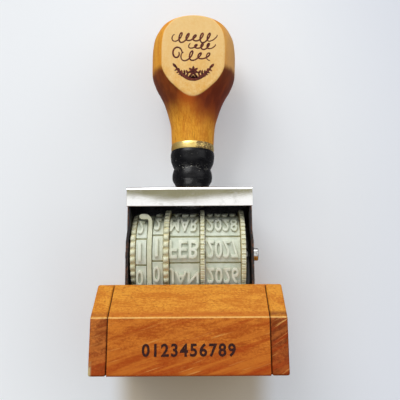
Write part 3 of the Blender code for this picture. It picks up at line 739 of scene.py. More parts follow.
@dataclass(frozen=True)
class BurntLine:
    """Dark brown line burnt into the wood."""

    name: str
    dark: Colour = tone(78, 26, 20)
    light: Colour = tone(122, 54, 34)

    def material(self) -> bpy.types.Material:
        """Build the material.

        Returns:
            The material.
        """
        mix = Recipe(self.name)
        cloud = mix.grain((0.5, 0.5, 0.5), 3.0, 0.65)
        colour = mix.mix(cloud.ramp(0.42, 0.7), self.dark, self.light)
        return mix.finish(
            Base_Color=colour, Roughness=0.6 + 0.2 * cloud, Normal=mix.bump(cloud, 0.02, 0.5),
            Specular_IOR_Level=0.25,
        )


def add_object(name: str, data: bpy.types.ID) -> bpy.types.Object:
    """New object that holds a mesh, curve, lamp or camera, linked to the scene.

    Args:
        name: Its name.
        data: What it holds.

    Returns:
        The new object.
    """
    item = bpy.data.objects.new(name, data)
    bpy.context.scene.collection.objects.link(item)
    return item


def plain_mesh(
    name: str, points: Sequence[Sequence[float]], faces: Sequence[Sequence[int]]
) -> bpy.types.Object:
    """Object from points and faces.

    Args:
        name: Name of the object and its mesh.
        points: Its corners.
        faces: The corners of each face, by their numbers.

    Returns:
        The new object.
    """
    mesh = bpy.data.meshes.new(name)
    mesh.from_pydata([tuple(point) for point in points], [], [tuple(face) for face in faces])
    return add_object(name, mesh)


def evaluated_mesh(item: bpy.types.Object) -> bpy.types.Mesh:
    """Plain mesh of a curve, or of a mesh with its modifiers.

    Args:
        item: The object.

    Returns:
        The new mesh, with the object's name.
    """
    bpy.context.view_layer.update()
    evaluated = item.evaluated_get(bpy.context.evaluated_depsgraph_get())
    mesh = bpy.data.meshes.new_from_object(evaluated)
    mesh.name = item.name
    return mesh


def settle(item: bpy.types.Object) -> bpy.types.Object:
    """Apply an object's modifiers, so that it holds a plain mesh.

    Args:
        item: The object.

    Returns:
        The same object.
    """
    mesh = evaluated_mesh(item)
    item.modifiers.clear()
    item.data = mesh
    return item


def from_curve(name: str, curve: bpy.types.Curve) -> bpy.types.Object:
    """Mesh object with the form of a curve or a text.

    Args:
        name: Name of the new object.
        curve: The curve or the text.

    Returns:
        The new object.
    """
    draft = add_object(name, curve)
    mesh = evaluated_mesh(draft)
    bpy.data.objects.remove(draft)
    return add_object(name, mesh)


def lettering(name: str, body: str, size: float, spacing: float, bolder: float) -> bpy.types.Object:
    """Solid letters about the origin, still to be fitted to their real size.

    Args:
        name: Name of the piece.
        body: What they say.
        size: Size of the type.
        spacing: Factor on the space between the letters.
        bolder: How far the outlines are moved out.

    Returns:
        The new object.
    """
    curve = bpy.data.curves.new(name, "FONT")
    curve.body = body
    curve.size = size
    curve.align_x = "CENTER"
    curve.align_y = "CENTER"
    curve.resolution_u = 4
    curve.space_character = spacing
    curve.offset = bolder
    curve.extrude = 0.5
    return from_curve(name, curve)


def span(mesh: bpy.types.Mesh) -> tuple[Vector, Vector]:
    """Lowest and highest corner of a mesh's box.

    Args:
        mesh: The mesh.

    Returns:
        The lowest and the highest corner.
    """
    spots = [vertex.co for vertex in mesh.vertices]
    low = Vector(min(spot[axis] for spot in spots) for axis in range(3))
    high = Vector(max(spot[axis] for spot in spots) for axis in range(3))
    return low, high


@contextmanager
def editing(mesh: bpy.types.Mesh) -> Iterator[bmesh.types.BMesh]:
    """Open a mesh for editing and write it back afterwards.

    Args:
        mesh: The mesh.

    Yields:
        Its editable form, while it is open.
    """
    shape = bmesh.new()
    shape.from_mesh(mesh)
    yield shape
    shape.to_mesh(mesh)
    shape.free()


def merge_flat(shape: bmesh.types.BMesh, degrees: float) -> None:
    """Make one face of neighbours whose angle is below a limit.

    Args:
        shape: The mesh, open for editing.
        degrees: The limit.
    """
    bmesh.ops.dissolve_limit(
        shape, angle_limit=math.radians(degrees), verts=shape.verts, edges=shape.edges
    )


def weld(item: bpy.types.Object, outward: bool = True) -> bpy.types.Object:
    """Merge doubled points, and turn the faces outwards if asked.

    Args:
        item: The piece.
        outward: Turn its faces outwards.

    Returns:
        The same object.
    """
    with editing(item.data) as shape:
        bmesh.ops.remove_doubles(shape, verts=shape.verts, dist=WELD)
        if outward:
            bmesh.ops.recalc_face_normals(shape, faces=shape.faces)
    return item


def soften(item: bpy.types.Object, width: float, segments: int = 3) -> bpy.types.Object:
    """Round the sharp edges of a piece and apply it.

    Args:
        item: The piece.
        width: Width of the rounding.
        segments: Steps of the rounding.

    Returns:
        The same object.
    """
    bevel = item.modifiers.new("Soften", "BEVEL")
    bevel.width = width
    bevel.segments = segments
    bevel.limit_method = "ANGLE"
    bevel.angle_limit = SHARP
    bevel.harden_normals = True
    item.data.shade_smooth()
    return settle(item)


def smooth(item: bpy.types.Object) -> bpy.types.Object:
    """Shade a piece smooth, with its real corners sharp.

    Args:
        item: The piece.

    Returns:
        The same object.
    """
    item.data.shade_smooth()
    item.data.set_sharp_from_angle(angle=SHARP)
    return item


def turned(
    name: str,
    profile: Sequence[Point],
    segments: int,
    place: Matrix = Matrix.Identity(4),
    bored: bool = False,
) -> bpy.types.Object:
    """Closed turned body.

    Args:
        name: Name of the piece.
        profile: Points of radius and height, in order round one half of the section.
        segments: Points of each ring.
        place: Where the turned body's axis goes.
        bored: Join the profile's ends round a bore; otherwise they lie on the axis.

    Returns:
        The new object.
    """
    points: list[Sequence[float]] = []
    rings: list[list[int]] = []
    for radius, height in profile:
        count = segments if radius > WELD else 1
        start = len(points)
        for step in range(count):
            angle = math.tau * step / segments
            points.append((radius * math.cos(angle), radius * math.sin(angle), height))
        rings.append([start + step % count for step in range(segments)])
    faces = []
    following = rings[1:] + rings[:1] if bored else rings[1:]
    for upper, lower in zip(rings, following):
        for step in range(segments):
            after = (step + 1) % segments
            corners = (upper[step], lower[step], lower[after], upper[after])
            face = list(dict.fromkeys(corners))
            if len(face) > 2:
                faces.append(face)
    item = plain_mesh(name, points, faces)
    item.data.transform(place)
    return weld(item)


def extruded(
    name: str, loops: Sequence[Sequence[Point]], low: float, high: float, plane: Plane
) -> bpy.types.Object:
    """Solid from flat outlines, of which the first is the outer one.

    Args:
        name: Name of the piece.
        loops: Closed outlines of points across and up.
        low: Start of the solid, square to the plane.
        high: End of the solid.
        plane: The plane that the outlines lie in.

    Returns:
        The new object.
    """
    curve = bpy.data.curves.new(name, "CURVE")
    curve.dimensions = "2D"
    curve.fill_mode = "BOTH"
    curve.extrude = (high - low) / 2 / MM
    for loop in loops:
        spline = curve.splines.new("POLY")
        spline.points.add(len(loop) - 1)
        for point, (across, up) in zip(spline.points, loop):
            point.co = (across / MM, up / MM, 0, 1)
        spline.use_cyclic_u = True
    item = from_curve(name, curve)
    middle = Matrix.Translation((0, 0, (low + high) / 2))
    item.data.transform(plane.value @ middle @ Matrix.Scale(MM, 4))
    weld(item)
    with editing(item.data) as shape:
        merge_flat(shape, 0.5)
    return item


def on_axle(height: float, across: float = 0.0) -> Matrix:
    """Place of a turned body whose axis runs along X at a height."""
    return Matrix.Translation((across, 0, height)) @ Plane.SIDE.value


def store_lift(mesh: bpy.types.Mesh, lifts: Sequence[float]) -> None:
    """Store how far each point is raised, for TypeRubber to read."""
    values = mesh.attributes.new("lift", "FLOAT", "POINT")
    values.data.foreach_set("value", lifts)


def joined(name: str, items: Sequence[bpy.types.Object]) -> bpy.types.Object:
    """One object from several, which are removed.

    Args:
        name: Name of the new object.
        items: The pieces.

    Returns:
        The new object.
    """
    shape = bmesh.new()
    for item in items:
        shape.from_mesh(item.data)
    mesh = bpy.data.meshes.new(name)
    shape.to_mesh(mesh)
    shape.free()
    for item in items:
        bpy.data.objects.remove(item)
    return add_object(name, mesh)


def cut_out(item: bpy.types.Object, cutter: bpy.types.Object) -> bpy.types.Object:
    """Cut one piece out of another and remove the cutter.

    Args:
        item: The piece.
        cutter: What is cut out of it.

    Returns:
        The cut piece.
    """
    modifier = item.modifiers.new("Cut", "BOOLEAN")
    modifier.operation = "DIFFERENCE"
    modifier.solver = "EXACT"
    modifier.object = cutter
    settle(item)
    bpy.data.objects.remove(cutter)
    return item


def from_frame(node: str, name: str) -> bpy.types.Object:
    """Welded copy of a frame node's mesh, with flat areas made one face each.

    Args:
        node: Name of the frame node.
        name: Name of the copy.

    Returns:
        The copy.
    """
    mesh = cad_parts[node].data.copy()
    mesh.name = name
    mesh.materials.clear()
    with editing(mesh) as shape:
        bmesh.ops.remove_doubles(shape, verts=shape.verts, dist=WELD)
        merge_flat(shape, 1)
    return add_object(name, mesh)


def arc(across: float, up: float, radius: float, start: float, end: float, steps: int) -> list[Point]:
    """Points of an arc about a centre, in degrees, with both its ends."""
    angles = [math.radians(start + (end - start) * index / steps) for index in range(steps + 1)]
    return [(across + radius * math.cos(a), up + radius * math.sin(a)) for a in angles]


def smooth_profile(
    shares: Sequence[Point], radius: float, height: float, foot: float, steps: int
) -> list[Point]:
    """Smooth curve through shares of a radius and a height.

    Args:
        shares: Points as shares of the radius and the height.
        radius: What a share of 1 across stands for.
        height: What a share of 1 up stands for.
        foot: Height of a share of 0.
        steps: Steps between two points.

    Returns:
        Points of radius and height.
    """
    points = [(radius * out, foot + height * up) for out, up in shares]
    padded = [points[0], *points, points[-1]]
    made: list[Point] = []
    for before, start, end, after in zip(padded, padded[1:], padded[2:], padded[3:]):
        for index in range(steps):
            t = index / steps
            made.append(tuple(
                b + t * (c - a + t * (2 * a - 5 * b + 4 * c - d + t * (3 * b - a - 3 * c + d))) / 2
                for a, b, c, d in zip(before, start, end, after)
            ))
    made.append(points[-1])
    return made


def dress(
    item: bpy.types.Object,
    material: bpy.types.Material,
    body: Body = Body.ROOT,
    replaces: Sequence[str] = (),
) -> bpy.types.Object:
    """Give a finished piece its material and body, and hide what it stands for.

    Args:
        item: The piece, with its place in its mesh.
        material: Its finish.
        body: The body that it moves with.
        replaces: Frame nodes that it stands for.

    Returns:
        The same piece.
    """
    item.data.materials.clear()
    item.data.materials.append(material)
    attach(item, body.value)
    if replaces:
        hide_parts(*replaces)
    LOG.info("%s: %d faces on %s", item.name, len(item.data.polygons), body.value)
    return item


def set_crooked(item: bpy.types.Object, drop: float = NECK_DROP) -> bpy.types.Object:
    """Set a piece of the neck off the frame's axis, about the collar's foot, and lower it.

    Args:
        item: The piece.
        drop: How far it is lowered.

    Returns:
        The same object.
    """
    foot = Matrix.Translation((0, 0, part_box("collar")[0].z))
    lean = Matrix.Rotation(math.radians(NECK_LEAN), 4, "Y")
    item.data.transform(Matrix.Translation((NECK_SHIFT, 0, -drop)) @ foot @ lean @ foot.inverted())
    return item


def refinish(node: str, material: bpy.types.Material) -> None:
    """Give a frame node that stays in view a better material.

    Args:
        node: Name of the frame node.
        material: Its new finish.
    """
    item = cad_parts[node]
    for place in item.material_slots:
        place.material = material
    LOG.info("%s: refinished", node)


class GeometryRecipe(NodeTree):
    """Geometry node tree with named inputs."""

    KINDS = {int: "NodeSocketInt", float: "NodeSocketFloat", bpy.types.Material: "NodeSocketMaterial"}

    def __init__(self, name: str, inputs: dict[str, type]) -> None:
        """Start a tree whose inputs have these names and types.

        Args:
            name: Name of the tree.
            inputs: Type of each input, by the input's name.
        """
        self.tree = bpy.data.node_groups.new(name, "GeometryNodeTree")
        self.sockets: dict[str, str] = {}
        for label, kind in inputs.items():
            made = self.tree.interface.new_socket(
                name=label, in_out="INPUT", socket_type=self.KINDS[kind]
            )
            self.sockets[label] = made.identifier
        self.tree.interface.new_socket(
            name="Geometry", in_out="OUTPUT", socket_type="NodeSocketGeometry"
        )
        self.inputs = self.tree.nodes.new("NodeGroupInput").outputs
        self.result = self.tree.nodes.new("NodeGroupOutput").inputs["Geometry"]

    def node(
        self,
        kind: str,
        settings: dict[str, Any] | None = None,
        values: dict[int | str, Any] | None = None,
        output: int | str = 0,
    ) -> bpy.types.NodeSocket:
        """Add a node as in add, and return one output socket."""
        return self.add(kind, settings, values).outputs[output]

    def finish(self, geometry: bpy.types.NodeSocket) -> None:
        """Realize the instances, set the material and end the tree.

        Args:
            geometry: What the tree has made.
        """
        real = self.node("GeometryNodeRealizeInstances", None, {0: geometry})
        painted = self.node(
            "GeometryNodeSetMaterial", None, {"Geometry": real, "Material": self.inputs["Material"]}
        )
        self.tree.links.new(painted, self.result)

    def make(self, name: str, values: dict[str, Any]) -> bpy.types.Object:
        """Run the tree with these input values and return its plain mesh.

        Args:
            name: Name of the piece.
            values: Value of each input, by the input's name.

        Returns:
            The new object.
        """
        item = plain_mesh(name, [], [])
        modifier = item.modifiers.new("Pattern", "NODES")
        modifier.node_group = self.tree
        for label, value in values.items():
            modifier[self.sockets[label]] = value
        return weld(settle(item), outward=False)


def radial_teeth() -> GeometryRecipe:
    """Tree that sets tapered blocks round a circle in the XY plane, pointing outwards.

    Returns:
        The tree, ready to make rings of teeth.
    """
    inputs = {
        "Count": int, "Radius": float, "Reach": float, "Root Width": float, "Tip Width": float,
        "Length": float, "Material": bpy.types.Material,
    }
    tree = GeometryRecipe("radial_teeth", inputs)
    size = tree.node(
        "ShaderNodeCombineXYZ", None,
        {"X": tree.inputs["Reach"], "Y": tree.inputs["Root Width"], "Z": tree.inputs["Length"]},
    )
    tooth = tree.node("GeometryNodeMeshCube", None, {"Size": size})
    spot = tree.node("GeometryNodeInputPosition")
    parts = {
        axis: tree.node("ShaderNodeSeparateXYZ", None, {0: spot}, axis) for axis in ("X", "Y", "Z")
    }
    taper = tree.node(
        "ShaderNodeMath", {"operation": "DIVIDE"},
        {0: tree.inputs["Tip Width"], 1: tree.inputs["Root Width"]},
    )
    narrow = tree.node("ShaderNodeMath", {"operation": "MULTIPLY"}, {0: parts["Y"], 1: taper})
    outside = tree.node("FunctionNodeCompare", {"operation": "GREATER_THAN"}, {0: parts["X"], 1: 0.0})
    across = tree.node(
        "GeometryNodeSwitch", {"input_type": "FLOAT"},
        {"Switch": outside, "False": parts["Y"], "True": narrow},
    )
    moved = tree.node("ShaderNodeCombineXYZ", None, {"X": parts["X"], "Y": across, "Z": parts["Z"]})
    tooth = tree.node("GeometryNodeSetPosition", None, {"Geometry": tooth, "Position": moved})
    ring = tree.node(
        "GeometryNodeMeshCircle", None,
        {"Vertices": tree.inputs["Count"], "Radius": tree.inputs["Radius"]},
    )
    around = tree.node("GeometryNodeInputPosition")
    turn = tree.node("FunctionNodeAlignRotationToVector", {"axis": "X"}, {"Vector": around})
    placed = tree.node(
        "GeometryNodeInstanceOnPoints", None, {"Points": ring, "Instance": tooth, "Rotation": turn}
    )
    tree.finish(placed)
    return tree


@dataclass
class Handle:
    """Pear-shaped turned handle with one flat and an ornament burnt into it."""

    flat: float = 8.25 * MM
    edge: float = 0.5 * MM
    slim: float = 0.98
    rows_per_step: int = 10
    flat_columns: int = 60
    side_columns: int = 132
    least_angle: float = 0.28
    ornament_height: float = 84.6 * MM
    ornament_shift: float = 0.1 * MM
    proud: float = 0.05 * MM
    foot_lift: float = 0.2 * MM
    shares: tuple[Point, ...] = (
        (0, 1), (0.3, 0.99), (0.5, 0.966), (0.666, 0.941), (0.81, 0.908), (0.91, 0.856),
        (0.97, 0.805), (1, 0.72), (1, 0.62), (0.985, 0.525), (0.89, 0.443), (0.79, 0.386),
        (0.687, 0.318), (0.586, 0.222), (0.522, 0.135), (0.495, 0),
    )

    def __post_init__(self) -> None:
        """Read the handle's place from the frame."""
        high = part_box("handle")[1]
        self.radius = high.x * self.slim
        self.top = high.z
        self.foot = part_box("gold_ring")[1].z + self.foot_lift

    def angles(self, radius: float) -> list[float]:
        """Angles of one ring's points, with a column along each edge of the flat.

        Args:
            radius: Radius of the ring.

        Returns:
            The angles, in order round the ring.
        """
        edge = math.acos(min(self.flat / max(radius, self.flat), 1))
        edge = max(edge, self.least_angle)
        front = -math.pi / 2
        inside = [front - edge + 2 * edge * i / self.flat_columns for i in range(self.flat_columns)]
        rest = math.tau - 2 * edge
        outside = [front + edge + rest * i / self.side_columns for i in range(self.side_columns)]
        return inside + outside

    def cut(self, depth: float) -> float:
        """Depth in front of the axis after the flat is cut, with a soft edge."""
        gap = max(self.edge - abs(depth - self.flat), 0) / self.edge
        return min(depth, self.flat) - gap ** 3 * self.edge / 6

    def build_body(self) -> bpy.types.Object:
        """The turned and cut wood.

        Returns:
            The new object.
        """
        height = self.top - self.foot
        profile = smooth_profile(self.shares, self.radius, height, self.foot, self.rows_per_step)
        profile = [(max(radius, 0.0), up) for radius, up in profile]
        count = self.flat_columns + self.side_columns
        points = [(0.0, 0.0, self.top)]
        for radius, up in profile[1:]:
            for angle in self.angles(radius):
                depth = self.cut(-radius * math.sin(angle))
                points.append((radius * math.cos(angle), -depth, up))
        points.append((0.0, 0.0, profile[-1][1]))
        faces = [(0, 1 + (i + 1) % count, 1 + i)[::-1] for i in range(count)]
        for row in range(len(profile) - 2):
            start = 1 + row * count
            for i in range(count):
                after = (i + 1) % count
                faces.append((start + i, start + count + i, start + count + after, start + after))
        last = 1 + (len(profile) - 2) * count
        faces += [(last + i, len(points) - 1, last + (i + 1) % count) for i in range(count)]
        item = weld(plain_mesh("turned_handle", points, faces))
        return smooth(item)

    def stroke(self, path: Sequence[Point], width: float, taper: float = 0.35) -> bpy.types.Object:
        """Burnt pen stroke on the flat, thin at both its ends.

        Args:
            path: Points across and up in millimetres from the ornament's middle.
            width: Width of the stroke in millimetres.
            taper: Share of the width that is left at the ends.

        Returns:
            The stroke as a flat ridge.
        """
        curve = bpy.data.curves.new("stroke", "CURVE")
        curve.dimensions = "3D"
        curve.bevel_depth = width / 2
        curve.bevel_resolution = 2
        curve.use_fill_caps = True
        spline = curve.splines.new("POLY")
        spline.points.add(len(path) - 1)
        last = len(path) - 1
        for index, (point, (across, up)) in enumerate(zip(spline.points, path)):
            point.co = (across, 0.0, up, 1)
            point.radius = taper + (1 - taper) * min(1, 5 * min(index, last - index) / last)
        item = from_curve("stroke", curve)
        flatten = Matrix.Diagonal((MM, self.proud * 2 / width, MM, 1))
        place = Matrix.Translation((self.ornament_shift, -self.flat, self.ornament_height))
        item.data.transform(place @ flatten)
        return item

    @staticmethod
    def loops(start: float, end: float, middle: float, height: float, turns: float) -> list[Point]:
        """Row of running loops, from its start to its end across.

        Args:
            start: Where the row starts across.
            end: Where it ends across.
            middle: Height of its middle.
            height: Height of its loops.
            turns: Number of its loops.

        Returns:
            Points across and up.
        """
        steps = int(turns * 28)
        swing = (end - start) / turns * 0.36
        points = []
        for step in range(steps + 1):
            share = step / steps
            angle = math.tau * turns * share
            slant = height * 0.16 * math.cos(angle)
            across = start + (end - start) * share - swing * math.sin(angle) + slant
            tall = height * (0.38 + 0.12 * math.sin(angle * 0.31 + middle))
            points.append((across, middle + tall * math.cos(angle)))
        return points

    @staticmethod
    def leaf(across: float, up: float, angle: float, length: float) -> list[Point]:
        """Outline of a pointed leaf that starts at a point and grows at an angle in degrees.

        Args:
            across: Where it starts across.
            up: Where it starts in height.
            angle: Direction in which it grows.
            length: Its length.

        Returns:
            Points across and up.
        """
        turn = math.radians(angle)
        side = []
        for step in range(9):
            share = step / 8
            side.append((length * share, length * 0.22 * math.sin(math.pi * share) ** 0.8))
        loop = side + [(along, -wide) for along, wide in side[-2:0:-1]]
        return [
            (across + a * math.cos(turn) - b * math.sin(turn), up + a * math.sin(turn) + b * math.cos(turn))
            for a, b in loop
        ]

    def garland(self) -> tuple[list[Point], list[list[Point]]]:
        """Hanging stem of the garland, and the outlines of its leaves and flower.

        Returns:
            The stem's points and the outlines.
        """
        stem = [(5.0 * share, -6.9 + 3.8 * share ** 2) for share in (i / 16 - 1 for i in range(33))]
        leaves = []
        for index in range(2, 31, 2):
            across, up = stem[index]
            share = across / 5.0
            for lean in (52, -42):
                grow = 90 - 90 * share + lean if share > 0 else 90 - 90 * share - lean
                size = 1.5 - 0.35 * abs(share)
                leaves.append(self.leaf(across, up, grow, size if lean > 0 else size * 0.8))
        for petal in range(7):
            leaves.append(self.leaf(0.0, -4.6, 90 + petal * 360 / 7, 1.6))
        pairs = ((4.6, -3.6, 40, 1.7), (1.3, -5.5, 30, 1.5), (2.3, -5.4, 10, 1.3))
        for sign in (-1, 1):
            for across, up, lean, length in pairs:
                leaves.append(self.leaf(sign * across, up, 90 - sign * lean, length))
        return stem, leaves

    def build_ornament(self) -> bpy.types.Object:
        """Three rows of running loops over a leafy garland.

        Returns:
            The new object.
        """
        rows = (
            self.loops(-5.8, 5.9, 5.3, 3.0, 6.0),
            self.loops(-1.2, 5.6, 2.75, 1.9, 4.0),
            self.loops(-3.2, 5.0, -0.15, 3.0, 3.5),
        )
        pieces = [self.stroke(row, 0.44, 0.6) for row in rows]
        tail = [(-4.6 + 1.5 * math.cos(a) * (1 - a / 11), 0.6 + 2.1 * math.sin(a) * (1 - a / 11))
                for a in (index * 0.22 for index in range(32))]
        pieces.append(self.stroke(tail, 0.5, 0.6))
        stem, leaves = self.garland()
        pieces.append(self.stroke(stem, 1.0, 0.4))
        low, high = self.flat - self.proud, self.flat + self.proud * 0.8
        for loop in leaves:
            spots = [(a * MM + self.ornament_shift, b * MM + self.ornament_height) for a, b in loop]
            pieces.append(extruded("ornament_leaf", [spots], low, high, Plane.FRONT))
        return joined("handle_ornament", pieces)

    def build(self) -> None:
        """Build and dress the handle."""
        dress(set_crooked(self.build_body()), HandleWood().material(), replaces=["handle"])
        dress(set_crooked(self.build_ornament()), BurntLine("ornament_brown").material())


@dataclass
class NeckTrim:
    """Black collar of two beads and the gold ring above it."""

    segments: int = 96
    steps: int = 8
    upper: tuple[Point, ...] = (
        (0.975, 1), (1, 0.93), (0.99, 0.84), (0.965, 0.75), (0.905, 0.665), (0.825, 0.58),
    )
    lower: tuple[Point, ...] = (
        (0.825, 0.58), (0.86, 0.535), (0.893, 0.46), (0.906, 0.375), (0.872, 0.28),
        (0.755, 0.175), (0.66, 0),
    )
    overlap: float = 0.2 * MM
    ring_bulge: float = 0.12 * MM
    rim: float = 0.1 * MM
    collar_sunk: float = 0.18 * MM
    collar_foot_edge: float = 0.05 * MM
    ring_sunk: float = 0.08 * MM

    def build_collar(self) -> bpy.types.Object:
        """The turned collar.

        Returns:
            The new object.
        """
        low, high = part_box("collar")
        high.z -= NECK_DROP
        height = high.z - low.z
        profile = smooth_profile(self.upper, high.x, height, low.z, self.steps)
        profile += smooth_profile(self.lower, high.x, height, low.z, self.steps)[1:]
        foot, top = low.z - self.collar_sunk, high.z + self.rim
        profile = [(0, top), (profile[0][0] - self.rim, top)] + profile
        profile += [(profile[-1][0] - self.collar_foot_edge, foot), (0, foot)]
        return smooth(turned("turned_collar", profile, self.segments))

    def build_ring(self) -> bpy.types.Object:
        """The gold ring, slightly crowned.

        Returns:
            The new object.
        """
        low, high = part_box("gold_ring")
        foot, top = low.z - self.ring_sunk, high.z + self.overlap
        outer = high.x - self.ring_bulge
        profile = [(0, top), (outer - self.rim, top)]
        for step in range(9):
            share = step / 8
            profile.append((
                outer + self.ring_bulge * math.sin(math.pi * share) ** 0.5,
                top + (foot - top) * share,
            ))
        profile += [(outer - self.rim, foot), (0, foot)]
        return smooth(turned("neck_ring", profile, self.segments))

    def build(self) -> None:
        """Build and dress both."""
        collar = set_crooked(self.build_collar(), 0.0)
        dress(collar, BlackLacquer().material(), replaces=["collar"])
        dress(set_crooked(self.build_ring()), GoldPaint().material(), replaces=["gold_ring"])


@dataclass
class ChromeFrame:
    """Folded cap, side plates, platen and what fastens them."""

    thickness: float = 0.8 * MM
    bend: float = 0.9 * MM
    bend_steps: int = 10
    front_skirt: float = 5.1 * MM
    rear_skirt: float = 8.8 * MM
    bulge: float = 0.008 * MM
    edge_round: float = 0.16 * MM
    plate_round: float = 0.1 * MM

    def _skirt(self, across: float, foot: float, top: float, sign: float) -> list[Point]:
        """Points up one skirt's outer face, bowed out a little.

        Args:
            across: Distance of the face from the cap's middle.
            foot: Height of its lower end.
            top: Height of its upper end.
            sign: -1 in front and 1 behind.

        Returns:
            The points, from the foot up.
        """
        points = []
        steps = 8
        for step in range(steps + 1):
            share = step / steps
            bow = self.bulge * (1 - (2 * share - 1) ** 2)
            points.append((sign * (across - self.bulge + bow), foot + (top - foot) * share))
        return points

    def build_cap(self) -> bpy.types.Object:
        """The folded cap.

        Returns:
            The new object.
        """
        low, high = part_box("frame_cap")
        outer = high.y
        inner = outer - self.thickness
        centre = outer - self.bend
        height = high.z - self.bend
        inside = self.bend - self.thickness
        front = high.z - self.front_skirt
        rear = high.z - self.rear_skirt
        steps = self.bend_steps
        outline = (
            [(-inner, front)]
            + self._skirt(outer, front, height, -1.0)
            + arc(-centre, height, self.bend, 180, 90, steps)[1:]
            + arc(centre, height, self.bend, 90, 0, steps)[:-1]
            + self._skirt(outer, rear, height, 1.0)[::-1]
            + [(inner, rear)]
            + arc(centre, height, inside, 0, 90, steps)
            + arc(-centre, height, inside, 90, 180, steps)
        )
        item = extruded("folded_cap", [outline], low.x, high.x, Plane.SIDE)
        return soften(item, self.edge_round)

    def build(self) -> None:
        """Build and dress the frame."""
        bright = Chrome(
            "cap_chrome", plate=(0.88, 0.88, 0.87), inner_depth=10.7, wave_depth=0.008, grain_depth=0.0024,
            rough=0.03,
        ).material()
        dress(self.build_cap(), bright, replaces=["frame_cap"])
        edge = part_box("left_side_plate")[1].y / MM
        plate = Chrome("plate_chrome", edge_place=edge, inner_width=15.575, rough=0.12).material()
        for side in ("left", "right"):
            node = side + "_side_plate"
            item = soften(from_frame(node, side + "_plate"), self.plate_round, 2)
            dress(item, plate, replaces=[node])
        steel = Steel("plain_steel").material()
        for node in ("platen", "handle_stud", "stud_nut", "stud_washer", "axle_spacer"):
            refinish(node, steel)
        for side in ("left", "right"):
            for end in ("front", "rear"):
                refinish(f"frame_screw_{side}_{end}", steel)


@dataclass
class Axle:
    """Riveted axle with a head outside the right plate and a tail outside the left one."""

    radius: float = 1.1 * MM
    head: float = 1.7 * MM
    tail: float = 1.35 * MM
    edge: float = 0.25 * MM
    dome: float = 0.03 * MM
    plate: float = 16.475 * MM
    segments: int = 48
    corner_steps: int = 6

    def build(self) -> None:
        """Build and dress the axle."""
        low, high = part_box("axle")
        height = (low.z + high.z) / 2
        profile = [(0, high.x), (self.head - 2 * self.edge, high.x - self.dome)]
        profile += self._corner(self.head, high.x, self.edge)
        profile += [
            (self.head, self.plate), (self.radius, self.plate),
            (self.radius, -self.plate), (self.tail, -self.plate),
        ]
        profile += [(r, -up) for r, up in reversed(self._corner(self.tail, -low.x, self.edge * 2))]
        profile.append((0, low.x))
        item = smooth(turned("turned_axle", profile, self.segments, on_axle(height)))
        dress(item, Steel("axle_steel", rough=0.14).material(), replaces=["axle"])

    def _corner(self, radius: float, end: float, edge: float) -> list[Point]:
        """Rounded edge of a turned end, from its face to its side."""
        return arc(radius - edge, end - edge, edge, 90, 0, self.corner_steps)


@dataclass
class BeltLine:
    """Neutral line of the type belts: round the wheel and the platen, in the YZ plane.

    Distances run from the middle of the platen forwards, up the front run, over the wheel and
    down the back. Angles are those of the outward normal.
    """

    axle: float
    foot: float
    radius: float
    flat: float = 4.7 * MM
    corner: float = 1.5 * MM
    stretches: list[tuple[Point, float, float, float, float]] = field(default_factory=list)

    def __post_init__(self) -> None:
        """Lay out the straight and bent stretches."""
        half = self.flat / 2
        up = self.foot + self.corner
        rise = self.axle - up
        span = math.hypot(half, rise)
        gap = self.radius - self.corner
        lean = math.asin(gap / span) - math.atan2(half, rise)
        run = math.sqrt(span ** 2 - gap ** 2)
        front, back, down = math.pi + lean, -lean, -math.pi / 2
        wheel = (0.0, self.axle)
        self.length = 0.0
        self._line((0.0, self.foot), down, half)
        self._bend((-half, up), self.corner, -down * 3, front)
        self._line(self.spot((-half, up), self.corner, front), front, run)
        self._bend(wheel, self.radius, front, back)
        self._line(self.spot(wheel, self.radius, back), back, run)
        self._bend((half, up), self.corner, back, down)
        self._line((half, self.foot), down, half)

    @staticmethod
    def spot(centre: Point, radius: float, angle: float) -> Point:
        """Point at an angle about a centre."""
        return (centre[0] + radius * math.cos(angle), centre[1] + radius * math.sin(angle))

    def _line(self, start: Point, angle: float, length: float) -> None:
        """Add a straight stretch."""
        self.stretches.append((start, 0.0, angle, self.length, length))
        self.length += length

    def _bend(self, centre: Point, radius: float, start: float, end: float) -> None:
        """Add a bend about a centre.

        Args:
            centre: Its centre.
            radius: Its radius.
            start: Angle at its start.
            end: Angle at its end.
        """
        length = radius * (start - end)
        self.stretches.append((centre, radius, start, self.length, length))
        self.length += length

    def point(self, distance: float, offset: float) -> Point:
        """Point at a distance along the line, moved out by an offset.

        Args:
            distance: How far along the line.
            offset: How far out from the line.

        Returns:
            The point.
        """
        distance %= self.length
        found = [stretch for stretch in self.stretches if stretch[3] <= distance][-1]
        centre, radius, angle, start, _ = found
        along = distance - start
        if radius:
            return self.spot(centre, radius + offset, angle - along / radius)
        across, up = self.spot(centre, offset, angle)
        return (across + along * math.sin(angle), up - along * math.cos(angle))


